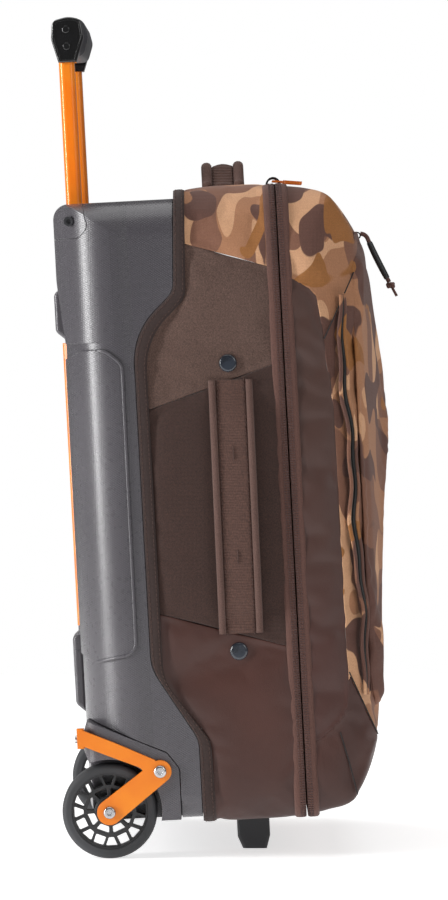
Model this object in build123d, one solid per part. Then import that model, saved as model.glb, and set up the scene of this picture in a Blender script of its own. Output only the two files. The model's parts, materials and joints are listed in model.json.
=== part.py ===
from build123d import *
import math
import os

# Rolling duffel bag: a hard tray at the back carries the wheels and the telescopic handle, and
# soft walls and a soft lid close it at the front.
#
# Every piece is drawn in the bag's own frame: x across, depth forward from the back, height up
# from the bottom of the tray. The whole bag then leans back on its wheels and front foot.
# Row frame: +Z up, the bag's front faces -Y, the floor is z = 0. Millimetres.

os.makedirs("parts", exist_ok=True)

# ---- driving dimensions -------------------------------------------------------------------
LEAN = 3.0  # degrees that the standing bag leans back
HALF_WIDTH = 178.0  # of the hard tray
TRAY_LOW = -4.0
TRAY_HIGH = 515.0
TRAY_BACK = 3.0
BAND_BACK = -2.7  # fuller band at the top of the tray
TRAY_WALL = 3.0
BACK_CORNER = 50.0
TOP_CORNER = 30.0
BASE_CORNER = 20.0

SOFT_HALF_WIDTH = 175.5  # of the fabric walls
SOFT_LOW = -7.0
SOFT_HIGH = 520.5
SOFT_WALL = 3.5
MOUTH = 185.0  # depth of the plane where the lid meets the main compartment
ZIPPER_GAP = 1.6
TAPE_WIDTH = 10.0
TAPE_THICK = 1.2
COIL_WIDTH = 0.6
COIL_THICK = 1.6

WHEEL_DEPTH = 19.8
WHEEL_HEIGHT = 5.5
WHEEL_R = 39.8
WHEEL_OUTER_X = 173.0
WHEEL_INNER_X = 151.0
AXLE_R = 3.0
RUNNING_GAP = 0.05
HOUSING_INNER_X = 143.4
WELL_INNER_X = 147.0
WELL_R = 44.0
BRACKET_X = (178.2, 182.8)
PIVOT = (63.8, 37.6)

TUBE_X = 122.0
TUBE_DEPTH = 15.8
TUBE_SIZE = (22.0, 13.2)  # across and deep, outside of the inner tube
TUBE_WALL = 1.3
SLEEVE_SIZE = (27.4, 18.6)  # outside of the fixed outer tube
SLEEVE_WALL = 1.2
SLEEVE_LOW = 18.0
SLEEVE_HIGH = 504.0
GRIP_LOW = 634.0  # height of the grip's collar as the handle stands, partly drawn out
TUBE_TOP = 646.0
PLUG_LOW = 138.0
PLUG_HIGH = 158.0
HANDLE_DOWN = -116.0
HANDLE_UP = 300.0
GRIP_END_X = (110.5, 137.5)

SIDES = {"left": -1, "right": 1}

# World height of the bag frame's origin: the wheels stand on z = 0.
lean_sin = math.sin(math.radians(LEAN))
lean_cos = math.cos(math.radians(LEAN))
BASE_Z = WHEEL_R - WHEEL_DEPTH * lean_sin - WHEEL_HEIGHT * lean_cos
BACK_Y = 111.3  # brings the middle of the bag's depth over the origin
PLACE = Pos(0, BACK_Y, BASE_Z) * Rot(-LEAN, 0, 0)


# ---- drawing helpers ----------------------------------------------------------------------
def outline(points, radii):
    """Closed face through corner points, each corner rounded to its own radius."""
    return make_face(FilletPolyline(*points, radius=radii, close=True))


def from_side(face, x_low, x_high):
    """Solid from a face drawn as (depth, height), between two places across the bag."""
    plane = Plane(origin=(x_high, 0, 0), x_dir=(0, -1, 0), z_dir=(-1, 0, 0))
    return extrude(plane * face, amount=x_high - x_low)


def from_top(face, low, high):
    """Solid from a face drawn as (across, depth), between two heights."""
    plane = Plane(origin=(0, 0, high), x_dir=(1, 0, 0), z_dir=(0, 0, -1))
    return extrude(plane * face, amount=high - low)


def from_front(face, depth_low, depth_high):
    """Solid from a face drawn as (across, height), between two depths."""
    plane = Plane(origin=(0, -depth_low, 0), x_dir=(1, 0, 0), z_dir=(0, -1, 0))
    return extrude(plane * face, amount=depth_high - depth_low)


def block(across, depth, height):
    """Box between (low, high) pairs given across the bag, forward and up."""
    centre = Pos((across[0] + across[1]) / 2, -(depth[0] + depth[1]) / 2, (height[0] + height[1]) / 2)
    return centre * Box(across[1] - across[0], depth[1] - depth[0], height[1] - height[0])


def bar_across(radius, x_low, x_high, depth, height):
    """Round bar along X."""
    return from_side(Pos(depth, height) * Circle(radius), x_low, x_high)


def bar_deep(radius, depth_low, depth_high, across, height):
    """Round bar along the depth of the bag."""
    return from_front(Pos(across, height) * Circle(radius), depth_low, depth_high)


def bar_up(radius, low, high, across, depth):
    """Round bar along the height of the bag."""
    return from_top(Pos(across, depth) * Circle(radius), low, high)


def band_face(half_width, low, high, base_corner, top_corner):
    """Front view of a wall that runs round the bag."""
    corners = [(-half_width, low), (half_width, low), (half_width, high), (-half_width, high)]
    return outline(corners, [base_corner, base_corner, top_corner, top_corner])


def mirrored(piece):
    """The same piece on the other side of the bag."""
    return mirror(piece, about=Plane.YZ)


def on_side(side, piece):
    """A piece drawn on the left, for the left or the right side."""
    return piece if side < 0 else mirrored(piece)


def save(name, piece):
    """Write one node in the row frame."""
    export_step(PLACE * piece, f"parts/{name}.step")


# ---- hard tray ----------------------------------------------------------------------------
FAR = 400.0  # beyond the bag in every direction
TRAY_EDGE = [(99, TRAY_HIGH), (95.3, 437.4), (60, 404.4), (60.5, 124), (97.3, 62), (97.4, TRAY_LOW)]
BINDING_EDGE = [(110, 540), (105.8, 431.5), (70.5, 398.5), (70.8, 113), (108.2, 60), (109, -20)]
EDGE_RADII = [0, 16, 60, 40, 25, 0]
CAVITY_FRONT = 130.0


def tray_plan(half_width, back, corner):
    """Top view of the tray: round corners at the back, open ahead."""
    corners = [(-half_width, back), (half_width, back), (half_width, 160), (-half_width, 160)]
    return outline(corners, [corner, corner, 0, 0])


def tray_block():
    """The tray's outer shape, filled in, with the fuller band behind the handle's corners."""
    main_side = outline(
        TRAY_EDGE + [(TRAY_BACK, TRAY_LOW), (TRAY_BACK, TRAY_HIGH)], EDGE_RADII + [18, 14]
    )
    band_side = outline(
        [(TRAY_BACK, 398), (BAND_BACK, 452), (BAND_BACK, TRAY_HIGH), (45, TRAY_HIGH), (45, 398)],
        [0, 40, 14, 0, 0],
    )
    front = band_face(HALF_WIDTH, TRAY_LOW, TRAY_HIGH, BASE_CORNER, TOP_CORNER)
    main = from_side(main_side, -FAR, FAR) & from_top(
        tray_plan(HALF_WIDTH, TRAY_BACK, BACK_CORNER), -50, 600
    )
    band_corner = BACK_CORNER + TRAY_BACK - BAND_BACK
    band = from_side(band_side, -FAR, FAR) & from_top(
        tray_plan(HALF_WIDTH, BAND_BACK, band_corner), -50, 600
    )
    return (main + band) & from_front(front, -30, 200)


def tray_cavity():
    """The space inside the tray, open at the front."""
    back = TRAY_BACK + TRAY_WALL
    low = TRAY_LOW + TRAY_WALL
    high = TRAY_HIGH - TRAY_WALL
    side = outline([(back, low), (CAVITY_FRONT, low), (CAVITY_FRONT, high), (back, high)], [15, 0, 0, 11])
    front = band_face(
        HALF_WIDTH - TRAY_WALL, low, high, BASE_CORNER - TRAY_WALL, TOP_CORNER - TRAY_WALL
    )
    plan = tray_plan(HALF_WIDTH - TRAY_WALL, back, BACK_CORNER - TRAY_WALL)
    return from_side(side, -FAR, FAR) & from_top(plan, -50, 600) & from_front(front, -30, 200)


def housing_notch(grow):
    """Corner that the tray leaves for one wheel housing, on the left."""
    corners = [(-30, 95), (4.3, 83), (50, 62), (70, 53), (80.2, 39), (79.8, -30), (-30, -30)]
    face = outline(corners, [0, 0, 30, 8, 10, 0, 0])
    return from_side(offset(face, amount=grow), -FAR, -HOUSING_INNER_X + grow)


def corner_region(grow):
    """Region of the cover round one tube's mouth, on the left."""
    corners = [(-30, 485.7), (19, 486.2), (27, 495), (24, 506), (23, 560), (-30, 560)]
    face = outline(corners, [0, 6, 6, 6, 0, 0])
    return from_side(offset(face, amount=grow), -FAR, -TUBE_X + 32 + grow)


def tube_face(size, corner, shrink=0.0):
    """Rounded oblong section of a handle tube, drawn as (across, depth)."""
    return RectangleRounded(size[0] - 2 * shrink, size[1] - 2 * shrink, corner - shrink)


def at_tube(face, side):
    """Put a tube's section over its own axis."""
    return Pos(side * TUBE_X, TUBE_DEPTH) * face


SEAM_GAP = 0.3
TUBE_CORNER = 4.5
SLEEVE_CORNER = 6.5
COVER_SCREW = (11.2, 500.5)
COVER_SCREW_X = 161.0

filled_tray = tray_block()
hollow_tray = tray_cavity()
tray_wall = filled_tray - hollow_tray


def side_panel_relief(side):
    """Raised rounded panel moulded on one side of the tray."""
    corners = [(-20, 374), (14, 391), (38, 391), (51.5, 379), (50.8, 142), (44, 136), (14, 130), (-20, 150)]
    face = outline(corners, [0, 12, 14, 12, 8, 10, 12, 0])
    grown = from_top(tray_plan(HALF_WIDTH + 1.4, TRAY_BACK - 1.4, BACK_CORNER + 1.4), 100, 420)
    relief = (from_side(face, -FAR, -120) & grown) - filled_tray
    return on_side(side, relief)


def back_tray():
    """Moulded tray: cut for the housings, the corner covers and the fasteners."""
    tray = tray_wall
    for side in SIDES.values():
        tray = tray - on_side(side, housing_notch(SEAM_GAP))
        tray = tray - on_side(side, corner_region(SEAM_GAP))
        tray = tray + side_panel_relief(side)
    return tray


def corner_cover(side):
    """Moulded cover round one tube's mouth, with the seat of its screw."""
    screw_seat = bar_across(4.2, -FAR, -COVER_SCREW_X + 0.1, *COVER_SCREW)
    cover = (tray_wall & corner_region(0)) - screw_seat
    cover = on_side(side, cover)
    mouth = from_top(at_tube(tube_face(TUBE_SIZE, TUBE_CORNER, -0.35), side), 480, 540)
    return cover - mouth


def cover_screw(side):
    """Screw that sits in the cover's round seat, on the corner's curve."""
    seat = bar_across(4.1, -COVER_SCREW_X - 3.5, -COVER_SCREW_X, *COVER_SCREW)
    core = bar_across(2.0, -FAR, -COVER_SCREW_X - 2, *COVER_SCREW)
    return on_side(side, seat - core)


# ---- wheels and what holds them -----------------------------------------------------------
HOUSING_OUTLINE = [
    (4.5, 82.4), (0.5, 71), (0.5, 59), (7, 41), (7, -4), (79.5, -4), (79.8, 39), (70, 52.4), (50, 61.6),
]
HOUSING_RADII = [2, 6, 8, 12, 12, 0, 10, 8, 30]
AXLE_HEAD = 5.2
PIVOT_BOLT_R = 2.5
TAB_BOLT_X = 168.0
TAB_BOLT_HEIGHT = 67.0


def wheel_housing(side):
    """Moulded housing over one wheel, with the wall that closes the wheel's well inside."""
    face = outline(HOUSING_OUTLINE, HOUSING_RADII)
    housing = from_side(face, -HALF_WIDTH, -HOUSING_INNER_X)
    plan = outline([(-HALF_WIDTH, 0.5), (-100, 0.5), (-100, 120), (-HALF_WIDTH, 120)], [12, 0, 0, 0])
    housing = housing & from_top(plan, -20, 100)
    housing = housing - bar_across(WELL_R, -FAR, -WELL_INNER_X, WHEEL_DEPTH, WHEEL_HEIGHT)
    housing = housing - bar_across(AXLE_R + 0.1, -FAR, 0, WHEEL_DEPTH, WHEEL_HEIGHT)
    housing = housing - bar_across(PIVOT_BOLT_R, -FAR, -158, *PIVOT)
    housing = housing - bar_deep(1.6, -10, 14, -TAB_BOLT_X, TAB_BOLT_HEIGHT)
    return on_side(side, housing)


def bracket_face():
    """Outline of the bent bracket: a boss at each bolt and one arm to the back corner."""
    pivot_boss = Pos(*PIVOT) * Circle(9.5)
    axle_boss = Pos(WHEEL_DEPTH, WHEEL_HEIGHT) * Circle(10.5)
    lower_arm = make_hull(pivot_boss.edges() + axle_boss.edges())
    upper_arm = outline(
        [(-3, 77), (27.4, 63.4), (60, 47.5), (66, 34), (54.5, 29), (48, 41.5), (23.6, 51.8), (-3, 63.6)],
        [0, 60, 0, 0, 0, 8, 60, 0],
    )
    return lower_arm + upper_arm


def wheel_bracket(side):
    """Painted bracket plate outside one wheel, with a tab round the back corner."""
    near, far = BRACKET_X
    plate = from_side(bracket_face(), -far, -near)
    plate = plate + bar_across(6.0, -near, -WHEEL_OUTER_X - 0.4, WHEEL_DEPTH, WHEEL_HEIGHT)
    tab = block((-far, -160), (-4.2, 0.2), (60, 75))
    wrap = block((-far, -near), (-4.2, 2), (60, 77))
    wrap = fillet((wrap + tab).edges().filter_by(Axis.Z).sort_by(Axis.X)[:1], 2)
    plate = (plate - block((-far, -near), (-10, -4.2), (50, 90))) + wrap
    for radius, place in ((AXLE_R + 0.1, (WHEEL_DEPTH, WHEEL_HEIGHT)), (PIVOT_BOLT_R + 0.1, PIVOT)):
        plate = plate - bar_across(radius, -FAR, -100, *place)
    plate = plate - bar_deep(1.7, -10, 14, -TAB_BOLT_X, TAB_BOLT_HEIGHT)
    return on_side(side, plate)


def button_head(radius, length, x_face, place):
    """Domed bolt head standing on a face at x, with its hexagon socket."""
    head = bar_across(radius, x_face - length, x_face, *place)
    head = fillet(head.edges().group_by(Axis.X)[0], length * 0.6)
    socket = Plane(origin=(x_face, 0, 0), x_dir=(0, -1, 0), z_dir=(-1, 0, 0)) * (
        Pos(*place) * RegularPolygon(radius * 0.42, 6)
    )
    return head - Pos(-length + 1.6, 0, 0) * extrude(socket, amount=length)


def axle_bolt(side):
    """Bolt that is the wheel's axle, from the bracket to a lock nut inside the tray."""
    place = (WHEEL_DEPTH, WHEEL_HEIGHT)
    head = button_head(AXLE_HEAD, 3.2, -BRACKET_X[1], place)
    shank = bar_across(AXLE_R, -BRACKET_X[1], -HOUSING_INNER_X + 7, *place)
    nut_face = Pos(*place) * (RegularPolygon(5.6, 6) - Circle(AXLE_R))
    nut = from_side(nut_face, -HOUSING_INNER_X, -HOUSING_INNER_X + 5.5)
    return Compound(children=[on_side(side, head + shank), on_side(side, nut)])


def bracket_bolts():
    """Pivot bolts and rear tab bolts of both brackets."""
    pivot = button_head(5.4, 3.2, -BRACKET_X[1], PIVOT)
    pivot = pivot + bar_across(PIVOT_BOLT_R, -BRACKET_X[1], -158, *PIVOT)
    tab = bar_deep(3.2, -6.2, -4.2, -TAB_BOLT_X, TAB_BOLT_HEIGHT)
    tab = tab + bar_deep(1.6, -4.2, 14, -TAB_BOLT_X, TAB_BOLT_HEIGHT)
    return Compound(children=[pivot, tab, mirrored(pivot), mirrored(tab)])


BEARING_R = 8.0
BEARING_WIDE = 5.0
SPACER_R = 4.8
HUB_R = 12.0
RIM_R = 32.0
WEB_X = (156.0, 168.0)
ARMS = 8
MIDDLE_RING = (19.6, 22.2)
RIM_INNER_R = 30.4


def polar_corner(radius, angle):
    """Point of a ring, from the wheel's centre."""
    turn = math.radians(angle)
    return (radius * math.cos(turn), radius * math.sin(turn))


def wedge(inner_r, outer_r, inner_angles, outer_angles):
    """Opening between two spokes of the web."""
    corners = [
        polar_corner(inner_r, inner_angles[0]), polar_corner(outer_r, outer_angles[0]),
        polar_corner(outer_r, outer_angles[1]), polar_corner(inner_r, inner_angles[1]),
    ]
    return outline(corners, 1.0)


def wheel_core(side):
    """Moulded wheel centre: hub, spoked web in two rings, and rim."""
    web = Circle(RIM_R)
    pitch = 360 / ARMS
    for arm in range(ARMS):
        turn = arm * pitch
        spread = wedge(MIDDLE_RING[1], RIM_INNER_R, (turn - 5.5, turn + 5.5), (turn - 10, turn + 10))
        between = wedge(
            MIDDLE_RING[1], RIM_INNER_R, (turn + 11, turn + pitch - 11), (turn + 14.5, turn + pitch - 14.5)
        )
        inner = wedge(13.2, MIDDLE_RING[0], (turn + 6, turn + pitch - 6), (turn + 5, turn + pitch - 5))
        web = web - spread - between - inner
    centre = Pos(WHEEL_DEPTH, WHEEL_HEIGHT)
    core = from_side(centre * web, -WEB_X[1], -WEB_X[0])
    rim = from_side(centre * (Circle(RIM_R) - Circle(RIM_INNER_R)), -171, -153)
    hub = from_side(centre * Circle(HUB_R), -WHEEL_OUTER_X, -WHEEL_INNER_X)
    bearing_seats = from_side(centre * Circle(BEARING_R), -WHEEL_OUTER_X, -WHEEL_OUTER_X + BEARING_WIDE)
    bearing_seats = bearing_seats + from_side(
        centre * Circle(BEARING_R), -WHEEL_INNER_X - BEARING_WIDE, -WHEEL_INNER_X
    )
    bore = from_side(centre * Circle(6.0), -WHEEL_OUTER_X, -WHEEL_INNER_X)
    return on_side(side, core + rim + hub - bearing_seats - bore)


def wheel_tyre(side):
    """Solid polyurethane tyre with rounded shoulders."""
    tyre = bar_across(WHEEL_R, -WHEEL_OUTER_X, -WHEEL_INNER_X, WHEEL_DEPTH, WHEEL_HEIGHT)
    tyre = fillet(tyre.edges().filter_by(GeomType.CIRCLE), 4.5)
    return on_side(side, tyre - bar_across(RIM_R, -FAR, 0, WHEEL_DEPTH, WHEEL_HEIGHT))


def wheel_bearings(side):
    """Two ball bearings in one wheel's hub, drawn as plain rings, and the tube between them."""
    place = Pos(WHEEL_DEPTH, WHEEL_HEIGHT)
    bore = Circle(AXLE_R + RUNNING_GAP)
    ring = place * (Circle(BEARING_R) - bore)
    spacer = place * (Circle(SPACER_R) - bore)
    outer_seat = -WHEEL_OUTER_X + BEARING_WIDE
    inner_seat = -WHEEL_INNER_X - BEARING_WIDE
    rings = [
        from_side(ring, -WHEEL_OUTER_X, outer_seat),
        from_side(ring, inner_seat, -WHEEL_INNER_X),
        from_side(spacer, outer_seat, inner_seat),
    ]
    return Compound(children=[on_side(side, piece) for piece in rings])


# ---- front foot, rails and bumpers --------------------------------------------------------
FOOT_HALF = 88.0
FOOT_SCREWS = (-60, 60)
FOOT_DEPTH = 139.0
FOOT_SCREW_R = 2.0


def front_foot():
    """Moulded bar foot, level underneath where it stands on the floor."""
    face = outline(
        [(125.4, -7), (125.4, -30), (131, -44), (149, -44), (153.2, -30), (153.2, -7)],
        [0, 6, 4, 4, 6, 0],
    )
    foot = from_side(face, -FOOT_HALF, FOOT_HALF)
    foot = fillet(foot.edges().filter_by(Axis.Z), 3)
    for x in FOOT_SCREWS:
        foot = foot - bar_up(FOOT_SCREW_R, -24, 0, x, FOOT_DEPTH)
    below_floor = PLACE.inverse() * Pos(0, 0, -FAR / 2) * Box(2 * FAR, 2 * FAR, FAR)
    return foot - below_floor


def foot_screws():
    """Screws that hold the foot, from inside the bag's floor."""
    screws = []
    seat = SOFT_LOW + SOFT_WALL
    for x in FOOT_SCREWS:
        head = bar_up(4.0, seat, seat + 2.2, x, FOOT_DEPTH)
        screws.append(head + bar_up(FOOT_SCREW_R, -23, seat, x, FOOT_DEPTH))
    return Compound(children=screws)


RAIL_X = 92.0
RAIL_HEIGHTS = (158, 398)
RAIL_STANDS = 4.0  # how far a rail stands off the tray's back


def rail_bumpers(side):
    """Bumpers above and below one rail."""
    return Compound(children=[back_bumper(side, 400, 448, 9.0), back_bumper(side, 84, 156.5, 8.6)])


def skid_rail(side):
    """Painted rub rail down the tray's back."""
    face = outline([(-7, 0), (7, 0), (4.5, -RAIL_STANDS), (-4.5, -RAIL_STANDS)], [0, 0, 2.5, 2.5])
    rail = from_top(Pos(-RAIL_X, TRAY_BACK) * face, *RAIL_HEIGHTS)
    return on_side(side, rail)


def back_bumper(side, low, high, proud):
    """Moulded bumper at one end of a rail, bevelled at both ends."""
    back = TRAY_BACK - proud
    face = outline([(TRAY_BACK, low), (back, low + 8), (back, high - 8), (TRAY_BACK, high)], [0, 6, 6, 0])
    bumper = from_side(face, -RAIL_X - 14, -RAIL_X + 14)
    bumper = fillet(bumper.edges().filter_by(Axis.Z), 3)
    return on_side(side, bumper - filled_tray)


# ---- soft walls ---------------------------------------------------------------------------
def soft_band(depth_low, depth_high, thick, inset=0.0):
    """Wall that runs round the bag between two depths."""
    half = SOFT_HALF_WIDTH - inset
    low = SOFT_LOW + inset
    high = SOFT_HIGH - inset
    base = BASE_CORNER + 2 - inset
    top = TOP_CORNER + 2 - inset
    outer = band_face(half, low, high, base, top)
    inner = band_face(half - thick, low + thick, high - thick, base - thick, top - thick)
    return from_front(outer - inner, depth_low, depth_high)


def behind_edge(edge, back):
    """Side region from a curved edge back to a given depth."""
    corners = edge + [(back, edge[-1][1]), (back, edge[0][1])]
    return from_side(outline(corners, EDGE_RADII + [0, 0]), -FAR, FAR)


def shifted(edge, forward):
    """The same edge a little further forward."""
    return [(depth + forward, height) for depth, height in edge]


def edge_binding():
    """Stitched strip that covers the joint of the tray and the soft walls, all round."""
    tray_edge = shifted([(100.2, 540)] + TRAY_EDGE[1:-1] + [(97.4, -20)], SEAM_GAP)
    half = HALF_WIDTH + 0.8
    outer = band_face(half, SOFT_LOW - 0.8, SOFT_HIGH + 1.2, BASE_CORNER + 3, TOP_CORNER + 3)
    inner = band_face(half - 4, SOFT_LOW + 3.2, SOFT_HIGH - 2.8, BASE_CORNER - 1, TOP_CORNER - 1)
    ring = from_front(outer - inner, 40, 130)
    ring = ring & behind_edge(BINDING_EDGE, 20)
    return ring - behind_edge(tray_edge, 20)


main_wall = soft_band(50, MOUTH - 2, SOFT_WALL) - behind_edge(shifted(BINDING_EDGE, SEAM_GAP), 20)

SEAM_TOP = ((60, 492.5), (200, 446.2))
SEAM_UPPER = ((60, 336.4), (200, 380.2))
SEAM_LOWER = ((60, 172.1), (200, 128.9))


def above(seam):
    """Half space over a straight seam, seen from the side."""
    (depth_a, height_a), (depth_b, height_b) = seam
    slope = (height_b - height_a) / (depth_b - depth_a)
    near = height_a - slope * (depth_a + 20)
    far = height_a + slope * (300 - depth_a)
    corners = [(-20, near), (300, far), (300, 700), (-20, 700)]
    return from_side(outline(corners, 0), -FAR, FAR)


def main_panels():
    """Sewn panels of the main compartment's wall."""
    over_top = above(SEAM_TOP)
    over_upper = above(SEAM_UPPER)
    over_lower = above(SEAM_LOWER)
    panels = {"gusset_top": main_wall & over_top, "base_wrap": main_wall - over_lower}
    panels["side_panels_upper"] = (main_wall & over_upper) - over_top
    panels["side_panels_middle"] = (main_wall & over_lower) - over_upper
    for x in FOOT_SCREWS:
        hole = bar_up(FOOT_SCREW_R, SOFT_LOW - 5, SOFT_LOW + 20, x, FOOT_DEPTH)
        panels["base_wrap"] = panels["base_wrap"] - hole
    return panels


def zipper_half_main():
    """Tape and coil on the main compartment's side of the mouth."""
    near = MOUTH - ZIPPER_GAP / 2
    tape = soft_band(MOUTH - TAPE_WIDTH, near, TAPE_THICK, inset=-TAPE_THICK)
    return tape + soft_band(near - COIL_WIDTH, near, COIL_THICK)


def zipper_half_lid():
    """Tape and coil on the lid's side of the mouth."""
    near = MOUTH + ZIPPER_GAP / 2
    tape = soft_band(near, MOUTH + TAPE_WIDTH, TAPE_THICK, inset=-TAPE_THICK)
    return tape + soft_band(near, near + COIL_WIDTH, COIL_THICK)


def strap_arch(length, rise, thick, wide):
    """Arched strap on the XY plane's x axis: flat ends, its top at the given rise."""
    half = length / 2
    top = rise - thick
    outer = outline(
        [(-half, 0), (-half, thick), (-half + 14, thick), (-half * 0.62, rise), (half * 0.62, rise),
         (half - 14, thick), (half, thick), (half, 0), (half - 15.5, 0), (half * 0.6, top),
         (-half * 0.6, top), (-half + 15.5, 0)],
        [0, 0, 20, 30, 30, 20, 0, 0, 24, 27, 27, 24],
    )
    return extrude(outer, amount=wide / 2, both=True)


def side_handle():
    """Webbing carry handle on the left wall, standing a finger's width off it."""
    strap = strap_arch(222, 11.5, 3.2, 37)
    lean = 0.008  # the handle leans forward as it rises
    seat = Plane(origin=(-SOFT_HALF_WIDTH, -138.5, 255.5), x_dir=(0, -lean, 1), z_dir=(0, -1, -lean))
    return seat * strap


def top_handle():
    """Padded carry handle across the top."""
    strap = strap_arch(190, 21.0, 4.0, 36)
    return Plane(origin=(0, -142, SOFT_HIGH), x_dir=(1, 0, 0), z_dir=(0, -1, 0)) * strap


def snap_caps():
    """Snap caps riveted through the side walls, above and below the side handle."""
    caps = []
    for depth, height in ((138.2, 375.5), (134.9, 134.5)):
        cap = bar_across(7.5, -SOFT_HALF_WIDTH - 3.0, -SOFT_HALF_WIDTH, depth, height)
        cap = fillet(cap.edges().group_by(Axis.X)[0], 2.0)
        caps += [cap, mirrored(cap)]
    return Compound(children=caps)


def back_lining():
    """Lining panel over the handle's tubes, inside the main compartment."""
    face = band_face(165, 92, 507, 4, 24) + band_face(138, 2, 100, 14, 2)
    return from_front(face, 27, 28.6)


# ---- lid ----------------------------------------------------------------------------------
LID_SIDE = [
    (MOUTH + 1.5, SOFT_LOW), (226, 0.5), (247, 52), (258, 240), (259, 400), (256, 464), (229, 517),
    (200, SOFT_HIGH), (MOUTH + 1.5, SOFT_HIGH),
]
LID_RADII = [0, 14, 18, 200, 120, 30, 22, 40, 0]
LID_CROWN = (242.0, 259.0)  # depth of the front at the side walls and at the middle


def crowned_plan(half_width, crown, back, corner):
    """Top view with straight sides and a crowned front."""
    edge, middle = crown
    sides = Polyline((-half_width, edge), (-half_width, back), (half_width, back), (half_width, edge))
    front = ThreePointArc((half_width, edge), (0, middle), (-half_width, edge))
    face = make_face(sides + front)
    return fillet(face.vertices().sort_by(Axis.Y)[-2:], corner)


def lid_block(inset):
    """The lid's outer shape, or its inside when inset."""
    back = MOUTH + 1.5 if inset == 0 else MOUTH - 20
    side = outline(LID_SIDE, LID_RADII)
    if inset:
        side = offset(side, amount=-inset)
        side = side + Pos(MOUTH, (SOFT_LOW + SOFT_HIGH) / 2) * Rectangle(20, SOFT_HIGH - SOFT_LOW - 2 * inset)
    edge, middle = LID_CROWN
    plan = crowned_plan(SOFT_HALF_WIDTH - inset, (edge - inset, middle - inset), back, 34 - inset)
    front = band_face(
        SOFT_HALF_WIDTH - inset, SOFT_LOW + inset, SOFT_HIGH - inset, BASE_CORNER + 2 - inset,
        TOP_CORNER + 2 - inset,
    )
    return from_side(side, -FAR, FAR) & from_top(plan, -60, 600) & from_front(front, 150, 300)


filled_lid = lid_block(0)
lid_wall = filled_lid - lid_block(SOFT_WALL)


def lid_panels():
    """Sewn panels of the lid: patterned front and top, plain wings and base."""
    wing_face = outline(
        [(150, 452), (197, 443), (215, 430), (224.5, 340), (226, 64), (150, 40)], [0, 4, 14, 60, 0, 0]
    )
    base_face = outline(
        [(150, -50), (320, -50), (320, 30), (247, 60.5), (226, 64), (150, 40)], [0, 0, 0, 0, 0, 0]
    )
    wing = from_side(wing_face, -FAR, FAR)
    base = from_side(base_face, -FAR, FAR)
    return {
        "lid_base": lid_wall & base,
        "lid_wings": (lid_wall & wing) - base,
        "lid_front": lid_wall - base - wing,
    }


POCKET_SIDE = [(230, 70), (258, 84), (266, 235), (273, 350), (266, 440), (255, 463), (230, 468)]
POCKET_RADII = [0, 10, 300, 130, 60, 4, 0]
POCKET_HALF = 152.0


def pocket_block(inset):
    """Front pocket's bulging shape, or its inside when inset."""
    side = offset(outline(POCKET_SIDE, POCKET_RADII), amount=-inset) if inset else outline(
        POCKET_SIDE, POCKET_RADII
    )
    plan = crowned_plan(POCKET_HALF - inset, (254 - inset, 273 - inset), 200, 14 - inset)
    return from_side(side, -FAR, FAR) & from_top(plan, 0, 600)


def front_pocket():
    """Stuffed pocket on the lid's front: an outer skin that bulges off the lid."""
    pocket = (pocket_block(0) - pocket_block(2.2)) - filled_lid
    return pocket.solids().sort_by(SortBy.VOLUME)[-1]


# ---- zipper sliders and pulls -------------------------------------------------------------
TAPE_TOP = SOFT_HIGH + TAPE_THICK
SLIDER_X = 26.0
SLIDER_PLATE = (TAPE_TOP + 0.3, TAPE_TOP + 2.5)
PULL_PIVOT = (MOUTH, TAPE_TOP + 5.2)
PULL_TILT = 7.0


def main_slider(side):
    """Slider astride the two tapes, with the bridge for its pull."""
    x = side * SLIDER_X
    low, high = SLIDER_PLATE
    upper = block((x - 9, x + 9), (MOUTH - 6.5, MOUTH + 6.5), SLIDER_PLATE)
    upper = fillet(upper.edges().filter_by(Axis.Z), 4)
    post = block((x - 2.5, x + 2.5), (MOUTH - 0.45, MOUTH + 0.45), (SOFT_HIGH - 3, low))
    lower = block((x - 6, x + 6), (MOUTH - 1.2, MOUTH + 1.2), (SOFT_HIGH - 4.2, SOFT_HIGH - 2.4))
    arch = Circle(6.2) - Circle(4.6) - Pos(0, -7) * Rectangle(20, 14)
    bridge = from_side(Pos(MOUTH, high) * arch, x - 1.4, x + 1.4)
    return upper + post + lower + bridge


def main_pull(side):
    """Pull on a slider: a wire loop through the bridge and a moulded tab that lies forward."""
    x = side * SLIDER_X
    depth, height = PULL_PIVOT
    loop = block((x - 3.8, x + 3.8), (depth - 0.7, depth + 10), (height - 0.7, height + 0.7))
    loop = loop - block((x - 2.4, x + 2.4), (depth + 0.7, depth + 8), (height - 2, height + 2))
    tab = block((x - 5, x + 5), (depth + 8.6, depth + 25), (height - 1.3, height + 1.3))
    pull = loop + fillet(tab.edges().filter_by(Axis.Z), 3)
    pivot = Pos(0, -depth, height)
    return pivot * Rot(PULL_TILT, 0, 0) * pivot.inverse() * pull


POCKET_ZIP_THICK = 1.0
POCKET_ZIP_HALF = 146.0
SLOPE = 27.0  # degrees that the lid's shoulder leans back where the pocket's zipper runs
SLIDER_SEAT = (251.0, 474.0)


def pocket_zipper():
    """Zipper sewn across the lid's shoulder, above the pocket."""
    skin = lid_block(-POCKET_ZIP_THICK) - filled_lid
    return skin & block((-POCKET_ZIP_HALF, POCKET_ZIP_HALF), (220, 300), (468.6, 479.6))


def pocket_slider():
    """Slider of the pocket's zipper, with the ring that its cord hangs from."""
    depth, height = SLIDER_SEAT
    turn = math.radians(SLOPE)
    seat = Plane(origin=(0, -depth, height), x_dir=(1, 0, 0), z_dir=(0, -math.cos(turn), math.sin(turn)))
    body = Pos(0, 0, 2.6) * Box(11, 8, 2.0)
    body = fillet(body.edges().filter_by(Axis.Z), 2.5)
    ring = extrude(Plane.YZ * Pos(0, 5.2) * (Circle(3.2) - Circle(2.0)), amount=1.0, both=True)
    return seat * (body + ring)


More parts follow.
